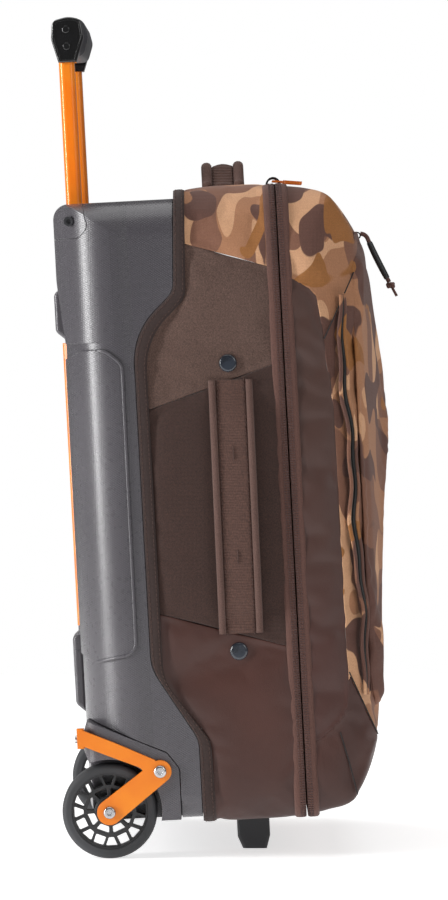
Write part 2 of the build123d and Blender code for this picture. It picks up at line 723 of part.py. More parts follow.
# ---- telescopic handle --------------------------------------------------------------------
GRIP_OUTLINE = [(9.2, 634), (3.9, 654), (5.5, 669.5), (19, 672.6), (29.5, 670), (31.6, 655), (24.3, 634)]
GRIP_RADII = [0.5, 12, 6, 20, 6, 10, 0.5]
GRIP_BOLTS = ((16.8, 661.8), (16.6, 647.6))
CHANNEL = ((-127, 127), (11.3, 20.3), (648, 665))
BUTTON_HALF = (22.0, 5.5)
BUTTON_TRAVEL = 4.0
BUTTON_SEAT = 660.3  # underside of the button at rest, on the yoke
BUTTON_TOP = 676.4
GRIP_TOP = 674.0
YOKE_LOW = 655.0
GRIP_COVER_HALF = 86.0  # half the length of the grip's soft cover
ROD_R = 2.0
PIN_R = 2.5
PIN_HEIGHT = 148.0
PIN_TRAVEL = 2.5
MOUNT_HALF = 14.0
MOUNT_FRONT = 26.0  # depth of the tube mounts' front face


def outer_tube(side):
    """Fixed tube that the handle slides in, with the holes that its pins drop into."""
    outer = from_top(at_tube(tube_face(SLEEVE_SIZE, SLEEVE_CORNER), side), SLEEVE_LOW, SLEEVE_HIGH)
    inner = from_top(at_tube(tube_face(SLEEVE_SIZE, SLEEVE_CORNER, SLEEVE_WALL), side), 0, 600)
    tube = outer - inner
    for travel in (HANDLE_DOWN, HANDLE_UP):
        hole = bar_across(PIN_R + 0.3, -TUBE_X - 20, -TUBE_X, TUBE_DEPTH, PIN_HEIGHT + travel)
        tube = tube - on_side(side, hole)
    return tube


def tube_guide(side):
    """Bushing in the outer tube's mouth."""
    hole = at_tube(tube_face(TUBE_SIZE, TUBE_CORNER, -0.1), side)
    body = at_tube(tube_face(SLEEVE_SIZE, SLEEVE_CORNER, SLEEVE_WALL), side)
    return from_top(body - hole, SLEEVE_HIGH - 16, SLEEVE_HIGH)


def tube_mount(side):
    """Block that fixes an outer tube's lower end to the tray."""
    x = side * TUBE_X
    filled = block((x - MOUNT_HALF, x + MOUNT_HALF), (0, MOUNT_FRONT), (TRAY_LOW, SLEEVE_LOW))
    return filled & hollow_tray


def inner_tube(side):
    """Painted sliding tube."""
    ring = tube_face(TUBE_SIZE, TUBE_CORNER) - tube_face(TUBE_SIZE, TUBE_CORNER, TUBE_WALL)
    return from_top(at_tube(ring, side), PLUG_HIGH, TUBE_TOP)


def tube_plug(side):
    """Plug in the sliding tube's foot, which guides it and carries the lock pin."""
    core = at_tube(tube_face(TUBE_SIZE, TUBE_CORNER, TUBE_WALL), side)
    flange = at_tube(tube_face(SLEEVE_SIZE, SLEEVE_CORNER, SLEEVE_WALL + 0.35), side)
    plug = from_top(flange, PLUG_LOW, PLUG_HIGH) + from_top(core, PLUG_HIGH, PLUG_HIGH + 16)
    plug = plug - bar_up(ROD_R + 0.3, PIN_HEIGHT + 3.5, 200, side * TUBE_X, TUBE_DEPTH)
    pin_bore = bar_across(PIN_R + RUNNING_GAP, -TUBE_X - 20, -TUBE_X + 7.5, TUBE_DEPTH, PIN_HEIGHT)
    return plug - on_side(side, pin_bore)


def lock_pin(side):
    """Pin that locks the handle, here with its nose against the outer tube's wall."""
    wall = -TUBE_X - SLEEVE_SIZE[0] / 2 + SLEEVE_WALL
    pin = bar_across(PIN_R, wall + 0.2, -TUBE_X + 4.5, TUBE_DEPTH, PIN_HEIGHT)
    pin = chamfer(pin.edges().group_by(Axis.X)[0], 0.8)
    return on_side(side, pin)


def grip_channel():
    """Space inside the grip for the release parts."""
    channel = block(*CHANNEL)
    rods = [bar_up(ROD_R + 0.4, 630, 660, side * TUBE_X, TUBE_DEPTH) for side in SIDES.values()]
    button = block(
        (-BUTTON_HALF[0] - 0.3, BUTTON_HALF[0] + 0.3),
        (TUBE_DEPTH - BUTTON_HALF[1] - 0.3, TUBE_DEPTH + BUTTON_HALF[1] + 0.3),
        (BUTTON_SEAT - BUTTON_TRAVEL - 1, GRIP_TOP + 20),
    )
    return channel + rods[0] + rods[1] + button


grip_face = outline(GRIP_OUTLINE, GRIP_RADII)
channel_space = grip_channel()


core_face = outline(
    [(9, 643), (4.6, 655), (6, 669), (19, 671.8), (29, 669.4), (31, 655), (26, 643)],
    [4, 12, 6, 20, 6, 10, 4],
)


def grip_core():
    """Moulded bar of the grip between its ends."""
    return from_side(core_face, -GRIP_END_X[0], GRIP_END_X[0]) - channel_space


def grip_sleeve():
    """Soft cover round the middle of the grip."""
    outer = outline(
        [(8, 640.6), (2.6, 655), (4, 671), (19, 673.8), (31, 671.2), (34.4, 656), (29, 640.6)],
        [6, 13, 8, 20, 9, 11, 6],
    )
    sleeve = from_side(outer, -GRIP_COVER_HALF, GRIP_COVER_HALF)
    hollow = from_side(core_face, -GRIP_COVER_HALF - 4, GRIP_COVER_HALF + 4)
    return sleeve - hollow - channel_space


def grip_end(side):
    """Glossy end of the grip, with the socket for its tube."""
    end = from_side(grip_face, -GRIP_END_X[1], -GRIP_END_X[0])
    end = fillet(end.edges().group_by(Axis.X)[0], 1.6)
    rim = from_side(offset(grip_face, amount=-2.4), -GRIP_END_X[1], -GRIP_END_X[1] + 1.2)
    end = end - rim
    socket = from_top(at_tube(tube_face(TUBE_SIZE, TUBE_CORNER), -1), 600, TUBE_TOP)
    end = end - socket - channel_space
    for place in GRIP_BOLTS:
        end = end - bar_across(3.2, -GRIP_END_X[1], -GRIP_END_X[1] + 4.5, *place)
    return on_side(side, end)


def grip_bolts():
    """Round bolt caps in both ends of the grip."""
    caps = []
    for place in GRIP_BOLTS:
        cap = bar_across(3.2, -GRIP_END_X[1] - 0.2, -GRIP_END_X[1] + 4.5, *place)
        cap = fillet(cap.edges().group_by(Axis.X)[0], 0.9)
        caps += [cap, mirrored(cap)]
    return Compound(children=caps)


def release_button():
    """Push button on top of the grip."""
    half_x, half_u = BUTTON_HALF
    button = block((-half_x, half_x), (TUBE_DEPTH - half_u, TUBE_DEPTH + half_u), (BUTTON_SEAT, BUTTON_TOP))
    return fillet(button.edges().group_by(Axis.Z)[-1], 1.5)


def release_yoke():
    """Bar under the button, with the push rods that reach down both tubes to the lock pins."""
    yoke = block((-126, 126), (TUBE_DEPTH - 3.6, TUBE_DEPTH + 3.6), (YOKE_LOW, BUTTON_SEAT))
    for side in SIDES.values():
        yoke = yoke + bar_up(ROD_R, PLUG_HIGH - 1, YOKE_LOW + 1, side * TUBE_X, TUBE_DEPTH)
    return yoke


def release_springs():
    """Coil springs that lift the yoke."""
    path = Helix(pitch=1.6, height=6.0, radius=2.4)
    coil = sweep(Plane(origin=path @ 0, z_dir=path % 0) * Circle(0.35), path=path, is_frenet=True)
    return Compound(children=[Pos(x, -TUBE_DEPTH, 648.45) * coil for x in (-62, 62)])


# ---- pocket zipper's cord -----------------------------------------------------------------
CORD_R = 1.9
# Route from the slider's ring down to the knot, as depth and height in the bag's middle plane
CORD_ROUTE = [(258.4, 477.8), (263.0, 477.2), (266.0, 469.0), (270.3, 458.3), (275.5, 446.5), (281.2, 434.6)]


def cord_radii(route):
    """Arc radius at each inner point: as large as its two runs allow."""
    radii = []
    for before, here, after in zip(route, route[1:], route[2:]):
        run_in = Vector(*here) - Vector(*before)
        run_out = Vector(*after) - Vector(*here)
        half_turn = math.radians(run_in.get_angle(run_out)) / 2
        radii.append(0.45 * min(run_in.length, run_out.length) / math.tan(half_turn))
    return radii


def pull_cord():
    """Cord of the pocket's pull, doubled and drawn as one round tube."""
    radii = cord_radii(CORD_ROUTE)
    print("cord radii", [round(radius, 1) for radius in radii])
    path = Plane(origin=(0, 0, 0), x_dir=(0, -1, 0), z_dir=(-1, 0, 0)) * FilletPolyline(
        *CORD_ROUTE, radius=radii
    )
    section = Plane(origin=path @ 0, z_dir=path % 0) * Circle(CORD_R)
    cord = sweep(section, path=path)
    print("cord length", round(path.length, 1), "volume ratio",
          round(cord.volume / (math.pi * CORD_R**2 * path.length), 4))
    return cord


def pull_knot():
    """Knot at the cord's end, with its two short tails."""
    end_depth, end_height = CORD_ROUTE[-1]
    back_depth, back_height = CORD_ROUTE[-2]
    direction = Vector(0, back_depth - end_depth, end_height - back_height).normalized()
    start = Vector(0, -end_depth, end_height)
    ball = Pos(*(start + direction * 4.4)) * Sphere(4.6)
    ball = ball - Plane(origin=start, z_dir=-direction) * Pos(0, 0, 10) * Box(40, 40, 20)
    for lean in (-1.4, 1.4):
        tail_start = start + direction * 7.5 + Vector(lean, 0, 0)
        ball = ball + Plane(origin=tail_start, z_dir=direction) * Pos(0, 0, 2.5) * Cylinder(1.1, 6)
    return ball


# ---- every node ---------------------------------------------------------------------------
def both_sides(make):
    """One piece made for the left and the right, as a group of two solids."""
    return Compound(children=[make(side) for side in SIDES.values()])


PAIRED = {
    "corner_cover": corner_cover,
    "wheel_housing": wheel_housing,
    "wheel_bracket": wheel_bracket,
    "wheel_core": wheel_core,
    "wheel_tyre": wheel_tyre,
    "wheel_bearings": wheel_bearings,
    "outer_tube": outer_tube,
    "inner_tube": inner_tube,
    "grip_end": grip_end,
    "lock_pin": lock_pin,
    "main_slider": main_slider,
    "main_pull": main_pull,
}
GROUPED = {
    "corner_screws": cover_screw,
    "axle_bolts": axle_bolt,
    "skid_rails": skid_rail,
    "rail_bumpers": rail_bumpers,
    "tube_guides": tube_guide,
    "tube_mounts": tube_mount,
    "tube_plugs": tube_plug,
}
SINGLE = {
    "back_tray": back_tray,
    "bracket_bolts": bracket_bolts,
    "front_foot": front_foot,
    "foot_screws": foot_screws,
    "edge_binding": edge_binding,
    "back_lining": back_lining,
    "side_handle": side_handle,
    "top_handle": top_handle,
    "snap_caps": snap_caps,
    "zipper_half_main": zipper_half_main,
    "zipper_half_lid": zipper_half_lid,
    "front_pocket": front_pocket,
    "pocket_zipper": pocket_zipper,
    "pocket_slider": pocket_slider,
    "grip_core": grip_core,
    "grip_sleeve": grip_sleeve,
    "grip_bolts": grip_bolts,
    "release_button": release_button,
    "release_yoke": release_yoke,
    "release_springs": release_springs,
    "pull_cord": pull_cord,
    "pull_knot": pull_knot,
}
for node, make in PAIRED.items():
    for side_name, side in SIDES.items():
        save(f"{node}_{side_name}", make(side))
for node, make in GROUPED.items():
    save(node, both_sides(make))
for node, make in SINGLE.items():
    save(node, make())
for node, panel in {**main_panels(), **lid_panels()}.items():
    save(node, panel)
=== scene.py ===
import json
import math

import bmesh
import bpy
import numpy as np
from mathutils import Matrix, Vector, noise
from mathutils.bvhtree import BVHTree
from mathutils.kdtree import KDTree


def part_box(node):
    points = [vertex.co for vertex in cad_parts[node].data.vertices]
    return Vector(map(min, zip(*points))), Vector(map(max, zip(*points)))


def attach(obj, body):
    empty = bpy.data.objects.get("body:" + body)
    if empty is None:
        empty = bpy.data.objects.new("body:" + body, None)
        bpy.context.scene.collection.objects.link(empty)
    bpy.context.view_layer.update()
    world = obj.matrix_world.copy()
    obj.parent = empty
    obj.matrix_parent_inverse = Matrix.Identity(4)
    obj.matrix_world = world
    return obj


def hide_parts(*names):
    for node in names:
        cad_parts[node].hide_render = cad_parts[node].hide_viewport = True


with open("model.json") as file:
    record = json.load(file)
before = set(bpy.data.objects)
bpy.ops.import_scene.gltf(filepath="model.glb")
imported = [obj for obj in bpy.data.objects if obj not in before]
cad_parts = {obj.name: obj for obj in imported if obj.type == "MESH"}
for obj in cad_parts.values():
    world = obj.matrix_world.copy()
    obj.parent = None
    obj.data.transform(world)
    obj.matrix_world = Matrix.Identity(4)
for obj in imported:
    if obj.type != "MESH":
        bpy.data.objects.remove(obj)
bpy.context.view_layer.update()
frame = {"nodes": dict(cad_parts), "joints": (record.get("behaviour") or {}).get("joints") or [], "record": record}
scene = bpy.context.scene

# ---- the bag's own frame: x across, depth forward from its back, height along its back, in mm ----
AXLE = (19.8, 5.5)  # depth and height of the wheels' axle
joints = {joint["name"]: joint for joint in frame["joints"]}
RISE = np.array(joints["handle_slide"]["axis"], float)
RISE /= np.linalg.norm(RISE)
AHEAD = np.array([0.0, -RISE[2], RISE[1]])
ACROSS = np.array([1.0, 0.0, 0.0])
SIDES = {"left": np.array([1, 1, 1]), "right": np.array([-1, 1, 1])}  # what turns the left side into either side
OUTSIDE = 400.0  # mm, beyond the bag's surface in every direction
axle_place = np.array([0.0, *joints["wheel_spin_left"]["pos_m"][1:]]) * 1000
ORIGIN = axle_place - AHEAD * AXLE[0] - RISE * AXLE[1]


def to_world(points):
    """Points in the bag's frame, in mm, as places in the row frame, in metres."""
    p = np.asarray(points, float).reshape(-1, 3)
    return (ORIGIN + p[:, :1] * ACROSS + p[:, 1:2] * AHEAD + p[:, 2:] * RISE) / 1000


def to_bag(points):
    """Places in the row frame, in metres, as points in the bag's frame, in mm."""
    p = np.asarray(points, float).reshape(-1, 3) * 1000 - ORIGIN
    return np.column_stack([p @ ACROSS, p @ AHEAD, p @ RISE])


def vertices_of(mesh):
    """All vertices of a mesh as rows."""
    co = np.empty(len(mesh.vertices) * 3)
    mesh.vertices.foreach_get("co", co)
    return co.reshape(-1, 3)


def tree_of(*nodes):
    """Search tree over CAD nodes, in the bag's frame."""
    points, faces = [], []
    for node in nodes:
        mesh = frame["nodes"][node].data
        base = len(points)
        points += to_bag(vertices_of(mesh)).tolist()
        faces += [[base + i for i in polygon.vertices] for polygon in mesh.polygons]
    return BVHTree.FromPolygons(points, faces)


def node_box(node):
    """Lowest and highest corner of a CAD node in the bag's frame."""
    points = to_bag(vertices_of(frame["nodes"][node].data))
    return points.min(0), points.max(0)


# ---- camera -------------------------------------------------------------------------------
CAMERA_DISTANCE = 4.75  # metres from the bag's near side
CAMERA_LENS = 227.8

camera = bpy.data.objects.new("camera", bpy.data.cameras.new("camera"))
scene.collection.objects.link(camera)
near_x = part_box("back_tray")[0].x
aim = Vector((near_x, -0.0038, 0.343))
camera.location = (near_x - CAMERA_DISTANCE, aim.y, 0.509)
camera.rotation_euler = (aim - camera.location).to_track_quat("-Z", "Y").to_euler()
camera.data.lens = CAMERA_LENS
camera.data.sensor_width = 36
camera.data.clip_end = 40
scene.camera = camera


# ---- mesh helpers -------------------------------------------------------------------------
def mesh_object(name, points, faces, smooth=True):
    """New mesh object from points in the bag's frame."""
    mesh = bpy.data.meshes.new(name)
    mesh.from_pydata(to_world(points).tolist(), [], [list(map(int, face)) for face in faces])
    mesh.update()
    mesh.shade_smooth() if smooth else mesh.shade_flat()
    piece = bpy.data.objects.new(name, mesh)
    scene.collection.objects.link(piece)
    return piece


def finished(piece, body, slot, *nodes):
    """Give a piece its body, finish and the CAD nodes that it stands for."""
    piece.data.materials.clear()
    piece.data.materials.append(paints[slot])
    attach(piece, body)
    if nodes:
        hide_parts(*nodes)
    return piece


def add(name, shape, body, slot, *nodes, finish=None, smooth=True):
    """New piece from (points, faces); finish is for a look that the record has no slot for."""
    piece = finished(mesh_object(name, *shape, smooth=smooth), body, slot, *nodes)
    if finish:
        piece.data.materials[0] = paints[finish]
    return piece


def grid_faces(rows, columns, wrap=False):
    """Quads of a grid whose points run row by row; wrap joins the last column to the first."""
    i = np.arange(rows - 1)[:, None]
    j = np.arange(columns if wrap else columns - 1)[None, :]
    k = (j + 1) % columns
    corners = [i * columns + j, i * columns + k, (i + 1) * columns + k, (i + 1) * columns + j]
    return np.stack([np.broadcast_to(c, (rows - 1, j.shape[1])) for c in corners], -1).reshape(-1, 4)


def sweep(places, side, lift, profile, closed=False):
    """Points and faces of a closed profile of (side, lift) offsets carried along places."""
    places, side, lift = (np.asarray(a, float) for a in (places, side, lift))
    profile = np.asarray(profile, float)
    if profile.ndim == 2:
        profile = np.broadcast_to(profile, (len(places), *profile.shape))
    points = places[:, None] + profile[..., :1] * side[:, None] + profile[..., 1:] * lift[:, None]
    count = profile.shape[1]
    rows = np.concatenate([points, points[:1]]) if closed else points
    faces = grid_faces(len(rows), count, wrap=True)
    if closed:
        faces = faces % (len(points) * count)
        return points.reshape(-1, 3), [list(f) for f in faces]
    ends = [list(range(count))[::-1], list(range((len(points) - 1) * count, len(points) * count))]
    return points.reshape(-1, 3), [list(f) for f in faces] + ends


def directions(line, closed=False):
    """Unit direction of a line at each of its points."""
    line = np.asarray(line, float)
    if closed:
        d = np.roll(line, -1, 0) - np.roll(line, 1, 0)
    else:
        d = np.gradient(line, axis=0)
    return d / np.linalg.norm(d, axis=1)[:, None]


def units(rows):
    """Rows scaled to length one."""
    return rows / np.maximum(np.linalg.norm(rows, axis=1)[:, None], 1e-9)


def rod(line, radius, sides=8, flat=1.0, lift=None, closed=False):
    """Round cord, piping or bead along a line."""
    line = np.asarray(line, float)
    along = directions(line, closed)
    lift = units(np.cross(along, ACROSS) if lift is None else np.asarray(lift, float))
    side = units(np.cross(along, lift))
    turn = np.linspace(0, 2 * math.pi, sides, endpoint=False)
    profile = np.column_stack([np.cos(turn) * radius, np.sin(turn) * radius * flat])
    return sweep(line, side, lift, profile, closed)


def evenly(line, step, closed=False):
    """The same line with points a step apart."""
    line = np.asarray(line, float)
    if closed:
        line = np.concatenate([line, line[:1]])
    run = np.concatenate([[0], np.cumsum(np.linalg.norm(np.diff(line, axis=0), axis=1))])
    count = max(2, round(run[-1] / step) + 1)
    at = np.linspace(0, run[-1], count)
    if closed:
        at = at[:-1]
    return np.column_stack([np.interp(at, run, line[:, k]) for k in range(line.shape[1])])


def rounded(corners, radii, step=4.0):
    """Line through corner points, each corner rounded by an arc, as points a step apart."""
    corners = [np.array(c, float) for c in corners]
    line = [corners[0]]
    for before, here, after, radius in zip(corners, corners[1:], corners[2:], radii):
        a, b = before - here, after - here
        a, b = a / np.linalg.norm(a), b / np.linalg.norm(b)
        half = math.acos(np.clip(a @ b, -1, 1)) / 2
        reach = radius / math.tan(half)
        centre = here + (a + b) / np.linalg.norm(a + b) * radius / math.sin(half)
        start, end = here + a * reach - centre, here + b * reach - centre
        for t in np.linspace(0, 1, 9):
            mid = start * (1 - t) + end * t
            line.append(centre + mid / max(np.linalg.norm(mid), 1e-9) * radius)
    line.append(corners[-1])
    return evenly(line, step)


def joined(parts):
    """Several (points, faces) as one."""
    points, faces, base = [], [], 0
    for part_points, part_faces in parts:
        points.append(part_points)
        faces += [[base + i for i in face] for face in part_faces]
        base += len(part_points)
    return np.concatenate(points), faces


def picked(points, faces):
    """Some faces of a mesh with only the points that they use."""
    used = sorted({i for face in faces for i in face})
    index = {old: new for new, old in enumerate(used)}
    return np.asarray(points)[used], [[index[i] for i in face] for face in faces]


def stitches(line, lift, length=3.0, pitch=4.2, radius=0.32, closed=False):
    """Row of sewn thread bumps along a line, each a small rounded bar."""
    at = evenly(line, pitch, closed)
    run = np.linspace(0, 1, len(lift))
    up = np.column_stack([np.interp(np.linspace(0, 1, len(at)), run, np.asarray(lift)[:, k]) for k in range(3)])
    along = directions(at, closed)
    up = units(up - (up * along).sum(1)[:, None] * along)
    side = np.cross(along, up)
    turn = np.linspace(0, 2 * math.pi, 6, endpoint=False)
    stations = [(-0.5, 0.25), (-0.32, 1.0), (0.32, 1.0), (0.5, 0.25)]
    shape = np.array([[a * length, math.cos(t) * radius * wide, math.sin(t) * radius * wide]
                      for a, wide in stations for t in turn])
    points = (at[:, None] + shape[None, :, :1] * along[:, None] + shape[None, :, 1:2] * side[:, None]
              + shape[None, :, 2:] * up[:, None])
    one = [list(f) for f in grid_faces(4, 6, wrap=True)] + [[5, 4, 3, 2, 1, 0], list(range(18, 24))]
    faces = [[i * 24 + k for k in face] for i in range(len(at)) for face in one]
    return points.reshape(-1, 3), faces


# ---- the rounded line that the walls follow round the bag, seen from the front ----
class Girth:
    """Rounded oblong round the bag. Runs from the middle of the base up the left side."""

    def __init__(self, half, low, high, base_corner, top_corner):
        self.half, self.low, self.high = half, low, high
        b, t = base_corner, top_corner
        quarter = math.pi / 2
        self.parts = [
            (half - b, (0, low), (-1, 0), None),
            (quarter * b, (-half + b, low + b), (0, -1), b),
            (high - low - b - t, (-half, low + b), (0, 1), None),
            (quarter * t, (-half + t, high - t), (-1, 0), t),
            (2 * (half - t), (-half + t, high), (1, 0), None),
            (quarter * t, (half - t, high - t), (0, 1), t),
            (high - low - b - t, (half, high - t), (0, -1), None),
            (quarter * b, (half - b, low + b), (1, 0), b),
            (half - b, (half - b, low), (-1, 0), None),
        ]
        self.length = sum(part[0] for part in self.parts)
        self.side_start = self.parts[0][0] + self.parts[1][0]
        self.base_corner = b

    def at(self, s):
        """Places (x, height) and outward directions at distances s along the line."""
        s = np.mod(np.asarray(s, float), self.length)
        shape = s.shape
        s = s.reshape(-1)
        x, v, nx, nv = (np.zeros_like(s) for _ in range(4))
        start = 0.0
        for length, place, heading, radius in self.parts:
            here = (s >= start - 1e-9) & (s <= start + length + 1e-9)
            t = s[here] - start
            if radius is None:
                x[here] = place[0] + heading[0] * t
                v[here] = place[1] + heading[1] * t
                nx[here], nv[here] = -heading[1], heading[0]
            else:
                turn = math.atan2(heading[1], heading[0]) - t / radius
                nx[here], nv[here] = np.cos(turn), np.sin(turn)
                x[here] = place[0] + radius * nx[here]
                v[here] = place[1] + radius * nv[here]
            start += length
        return tuple(a.reshape(shape) for a in (x, v, nx, nv))

    def place_of(self, height):
        """Distance along the line at a height of the left side."""
        return self.side_start + height - self.low - self.base_corner

    def track(self, s, depth=0.0, way=1.0):
        """Places at distances s and one depth, with the directions across a band there and out of the bag."""
        x, v, nx, nv = self.at(s)
        zero = np.zeros(len(s))
        return (np.column_stack([x, zero + depth, v]), np.tile([0.0, way, 0.0], (len(s), 1)),
                np.column_stack([nx, zero, nv]))


lid_low, lid_high = node_box("zipper_half_lid")
TAPE_THICK = 1.2
SOFT_HALF = lid_high[0] - TAPE_THICK
SOFT_LOW = lid_low[2] + TAPE_THICK
SOFT_HIGH = lid_high[2] - TAPE_THICK
MOUTH = lid_low[1] - 0.8
BASE_CORNER = 22.0
TOP_CORNER = 32.0
BAND_STEP = 3.0
girth = Girth(SOFT_HALF, SOFT_LOW, SOFT_HIGH, BASE_CORNER, TOP_CORNER)

IN_BINDING = 178.5  # across the bag, inside the binding's thickness
binding_tree = tree_of("edge_binding")
tray_tree = tree_of("back_tray")
lid_tree = tree_of("lid_front", "lid_wings", "lid_base")
pocket_tree = tree_of("front_pocket")


def binding_depths(ahead):
    """Depth of the binding's front or rear edge at each height, as a pair of rows."""
    heights, depths = [], []
    start, way = (260, Vector((0, -1, 0))) if ahead else (20, Vector((0, 1, 0)))
    beside = [(-IN_BINDING, v) for v in np.arange(20, 484, 4)]
    samples = [(0.0, SOFT_LOW - 0.4), *beside, (0.0, SOFT_HIGH + 0.6)]
    for x, v in samples:
        hit = binding_tree.ray_cast(Vector((x, start, v)), way)[0]
        if hit:
            heights.append(v)
            depths.append(hit.y)
    return np.array(heights), np.array(depths)


FRONT_EDGE = binding_depths(True)
REAR_EDGE = binding_depths(False)

# straight side seams, each as two (depth, height) points
SEAM_TOP = ((60, 492.5), (200, 446.2))
SEAM_UPPER = ((60, 336.4), (200, 380.2))
SEAM_LOWER = ((60, 172.1), (200, 128.9))


def seam_height(seam, depth):
    """Height of a straight side seam at a depth."""
    (u0, v0), (u1, v1) = seam
    return v0 + (np.asarray(depth) - u0) * (v1 - v0) / (u1 - u0)


# ---- smooth noise and the sewn look -------------------------------------------------------
def ripple(points, size, seed, stretch=(1, 1, 1)):
    """Smooth noise from -1 to 1 at each point; size is that of one bump in mm."""
    offset = Vector((seed * 3.1, seed * 7.7, seed * 1.3))
    scaled = np.asarray(points) / (np.array(stretch) * size)
    return np.array([noise.noise(Vector(p) + offset) for p in scaled])


def edge_vertices(faces):
    """Indices of the vertices on the open edges of a mesh."""
    count = {}
    for face in faces:
        for a, b in zip(face, [*face[1:], face[0]]):
            key = (min(a, b), max(a, b))
            count[key] = count.get(key, 0) + 1
    return sorted({i for key, n in count.items() if n == 1 for i in key})


def distance_to(points, marked):
    """Distance from each point to the nearest marked one."""
    tree = KDTree(len(marked))
    for i, index in enumerate(marked):
        tree.insert(points[index], i)
    tree.balance()
    return np.array([tree.find(p)[2] for p in points])


def normals_of(points, faces):
    """Vertex normals of a mesh in the bag's frame."""
    mesh = bpy.data.meshes.new("scratch")
    mesh.from_pydata(np.asarray(points).tolist(), [], [list(map(int, f)) for f in faces])
    mesh.update()
    normals = np.empty(len(points) * 3)
    mesh.vertices.foreach_get("normal", normals)
    bpy.data.meshes.remove(mesh)
    return normals.reshape(-1, 3)


SNAPS = ((138.2, 375.5), (134.9, 134.5))  # depth and height of the snap caps
SNAP_HOLD = 12  # cloth this near to a snap's middle doesn't move in the simulation
FAR = 1000.0
PANEL_THICK = 0.0016
cloths = []


def panel(name, shape, body, slot, node, seed, crown=1.6, pressure=2.0, slack=0.012, wrinkle=0.5, lining=True,
          finish=None):
    """Sewn fabric panel: crowned between its seams, puckered beside them, and swelled by simulation."""
    points, faces = np.asarray(shape[0], float), [list(map(int, f)) for f in shape[1]]
    reach = distance_to(points, edge_vertices(faces))
    normal = normals_of(points, faces)
    pucker = ripple(points, 9, seed) * np.exp(-reach / 9) * (1 - np.exp(-reach / 2.5))
    sag = ripple(points, 55, seed + 5) + 0.5 * ripple(points, 24, seed + 9)
    lift = crown * (1 - np.exp(-reach / 14)) - 1.0 * np.exp(-reach / 1.6)
    lift += wrinkle * (0.9 * pucker + 0.55 * sag * (1 - np.exp(-reach / 20)))
    to_snap = np.min([np.linalg.norm(points[:, 1:] - snap, axis=1) for snap in SNAPS], axis=0)
    to_snap = np.where(np.abs(points[:, 0]) > SOFT_HALF - 5, to_snap, FAR)
    lift = lift * (1 - np.exp(-((to_snap / 13) ** 2))) - 0.6 * np.exp(-((to_snap / 11) ** 2))
    piece = add(name, (points + normal * lift[:, None], faces), body, slot, node, finish=finish)
    held = piece.vertex_groups.new(name="held")
    for index, d in enumerate(reach):
        held.add([index], 1.0 if d < 0.1 or to_snap[index] < SNAP_HOLD else 0.0, "REPLACE")
    if lining:
        piece.data.materials.append(paints["lining_fabric"])
    cloths.append((piece, pressure, slack))


SIM_FRAMES = 16
SIM_CAP = 0.006  # metres that the cloth may move at most
CLOTH = {"quality": 4, "mass": 0.15, "tension_stiffness": 12, "compression_stiffness": 8, "shear_stiffness": 4,
         "bending_stiffness": 0.25, "use_pressure": True, "vertex_group_mass": "held"}


def simulate(entries):
    """Swell the panels a little with Blender's cloth, their seams held, and keep the result."""
    rest = {}
    for piece, pressure, slack in entries:
        rest[piece.name] = vertices_of(piece.data)
        cloth = piece.modifiers.new("cloth", "CLOTH")
        for key, value in CLOTH.items():
            setattr(cloth.settings, key, value)
        cloth.settings.uniform_pressure_force = pressure
        cloth.settings.shrink_min = -slack
        cloth.settings.effector_weights.gravity = 0
        cloth.collision_settings.use_collision = False
        cloth.point_cache.frame_start = 1
        cloth.point_cache.frame_end = SIM_FRAMES
    for number in range(1, SIM_FRAMES + 1):
        scene.frame_set(number)
    graph = bpy.context.evaluated_depsgraph_get()
    for piece, *_ in entries:
        moved = vertices_of(piece.evaluated_get(graph).to_mesh())
        step = moved - rest[piece.name]
        length = np.linalg.norm(step, axis=1)[:, None]
        step *= SIM_CAP * np.tanh(length / SIM_CAP) / np.maximum(length, 1e-9)
        piece.modifiers.clear()
        piece.data.vertices.foreach_set("co", (rest[piece.name] + step).ravel())
        piece.data.update()
    scene.frame_set(1)


def thicken(piece, thickness):
    """Give a sheet its thickness, on its inner side."""
    solid = piece.modifiers.new("thickness", "SOLIDIFY")
    solid.thickness = thickness
    solid.offset = -1
    return solid


def padded_out(entries):
    """Give the panels their thickness and lining, and round them off."""
    for piece, *_ in entries:
        solid = thicken(piece, PANEL_THICK)
        if len(piece.data.materials) > 1:
            solid.material_offset = 1
        subdivision = piece.modifiers.new("smooth", "SUBSURF")
        subdivision.levels = subdivision.render_levels = 1


# ---- materials ----------------------------------------------------------------------------
def linear(red, green, blue):
    """A colour given as seen on screen, as the shader's linear one."""
    return (*[(c / 255 / 12.92 if c <= 10 else ((c / 255 + 0.055) / 1.055) ** 2.4) for c in (red, green, blue)], 1)


BANDS_IN_SCALE = 3.183  # stripes for each metre that Blender's wave texture draws at a scale of 1


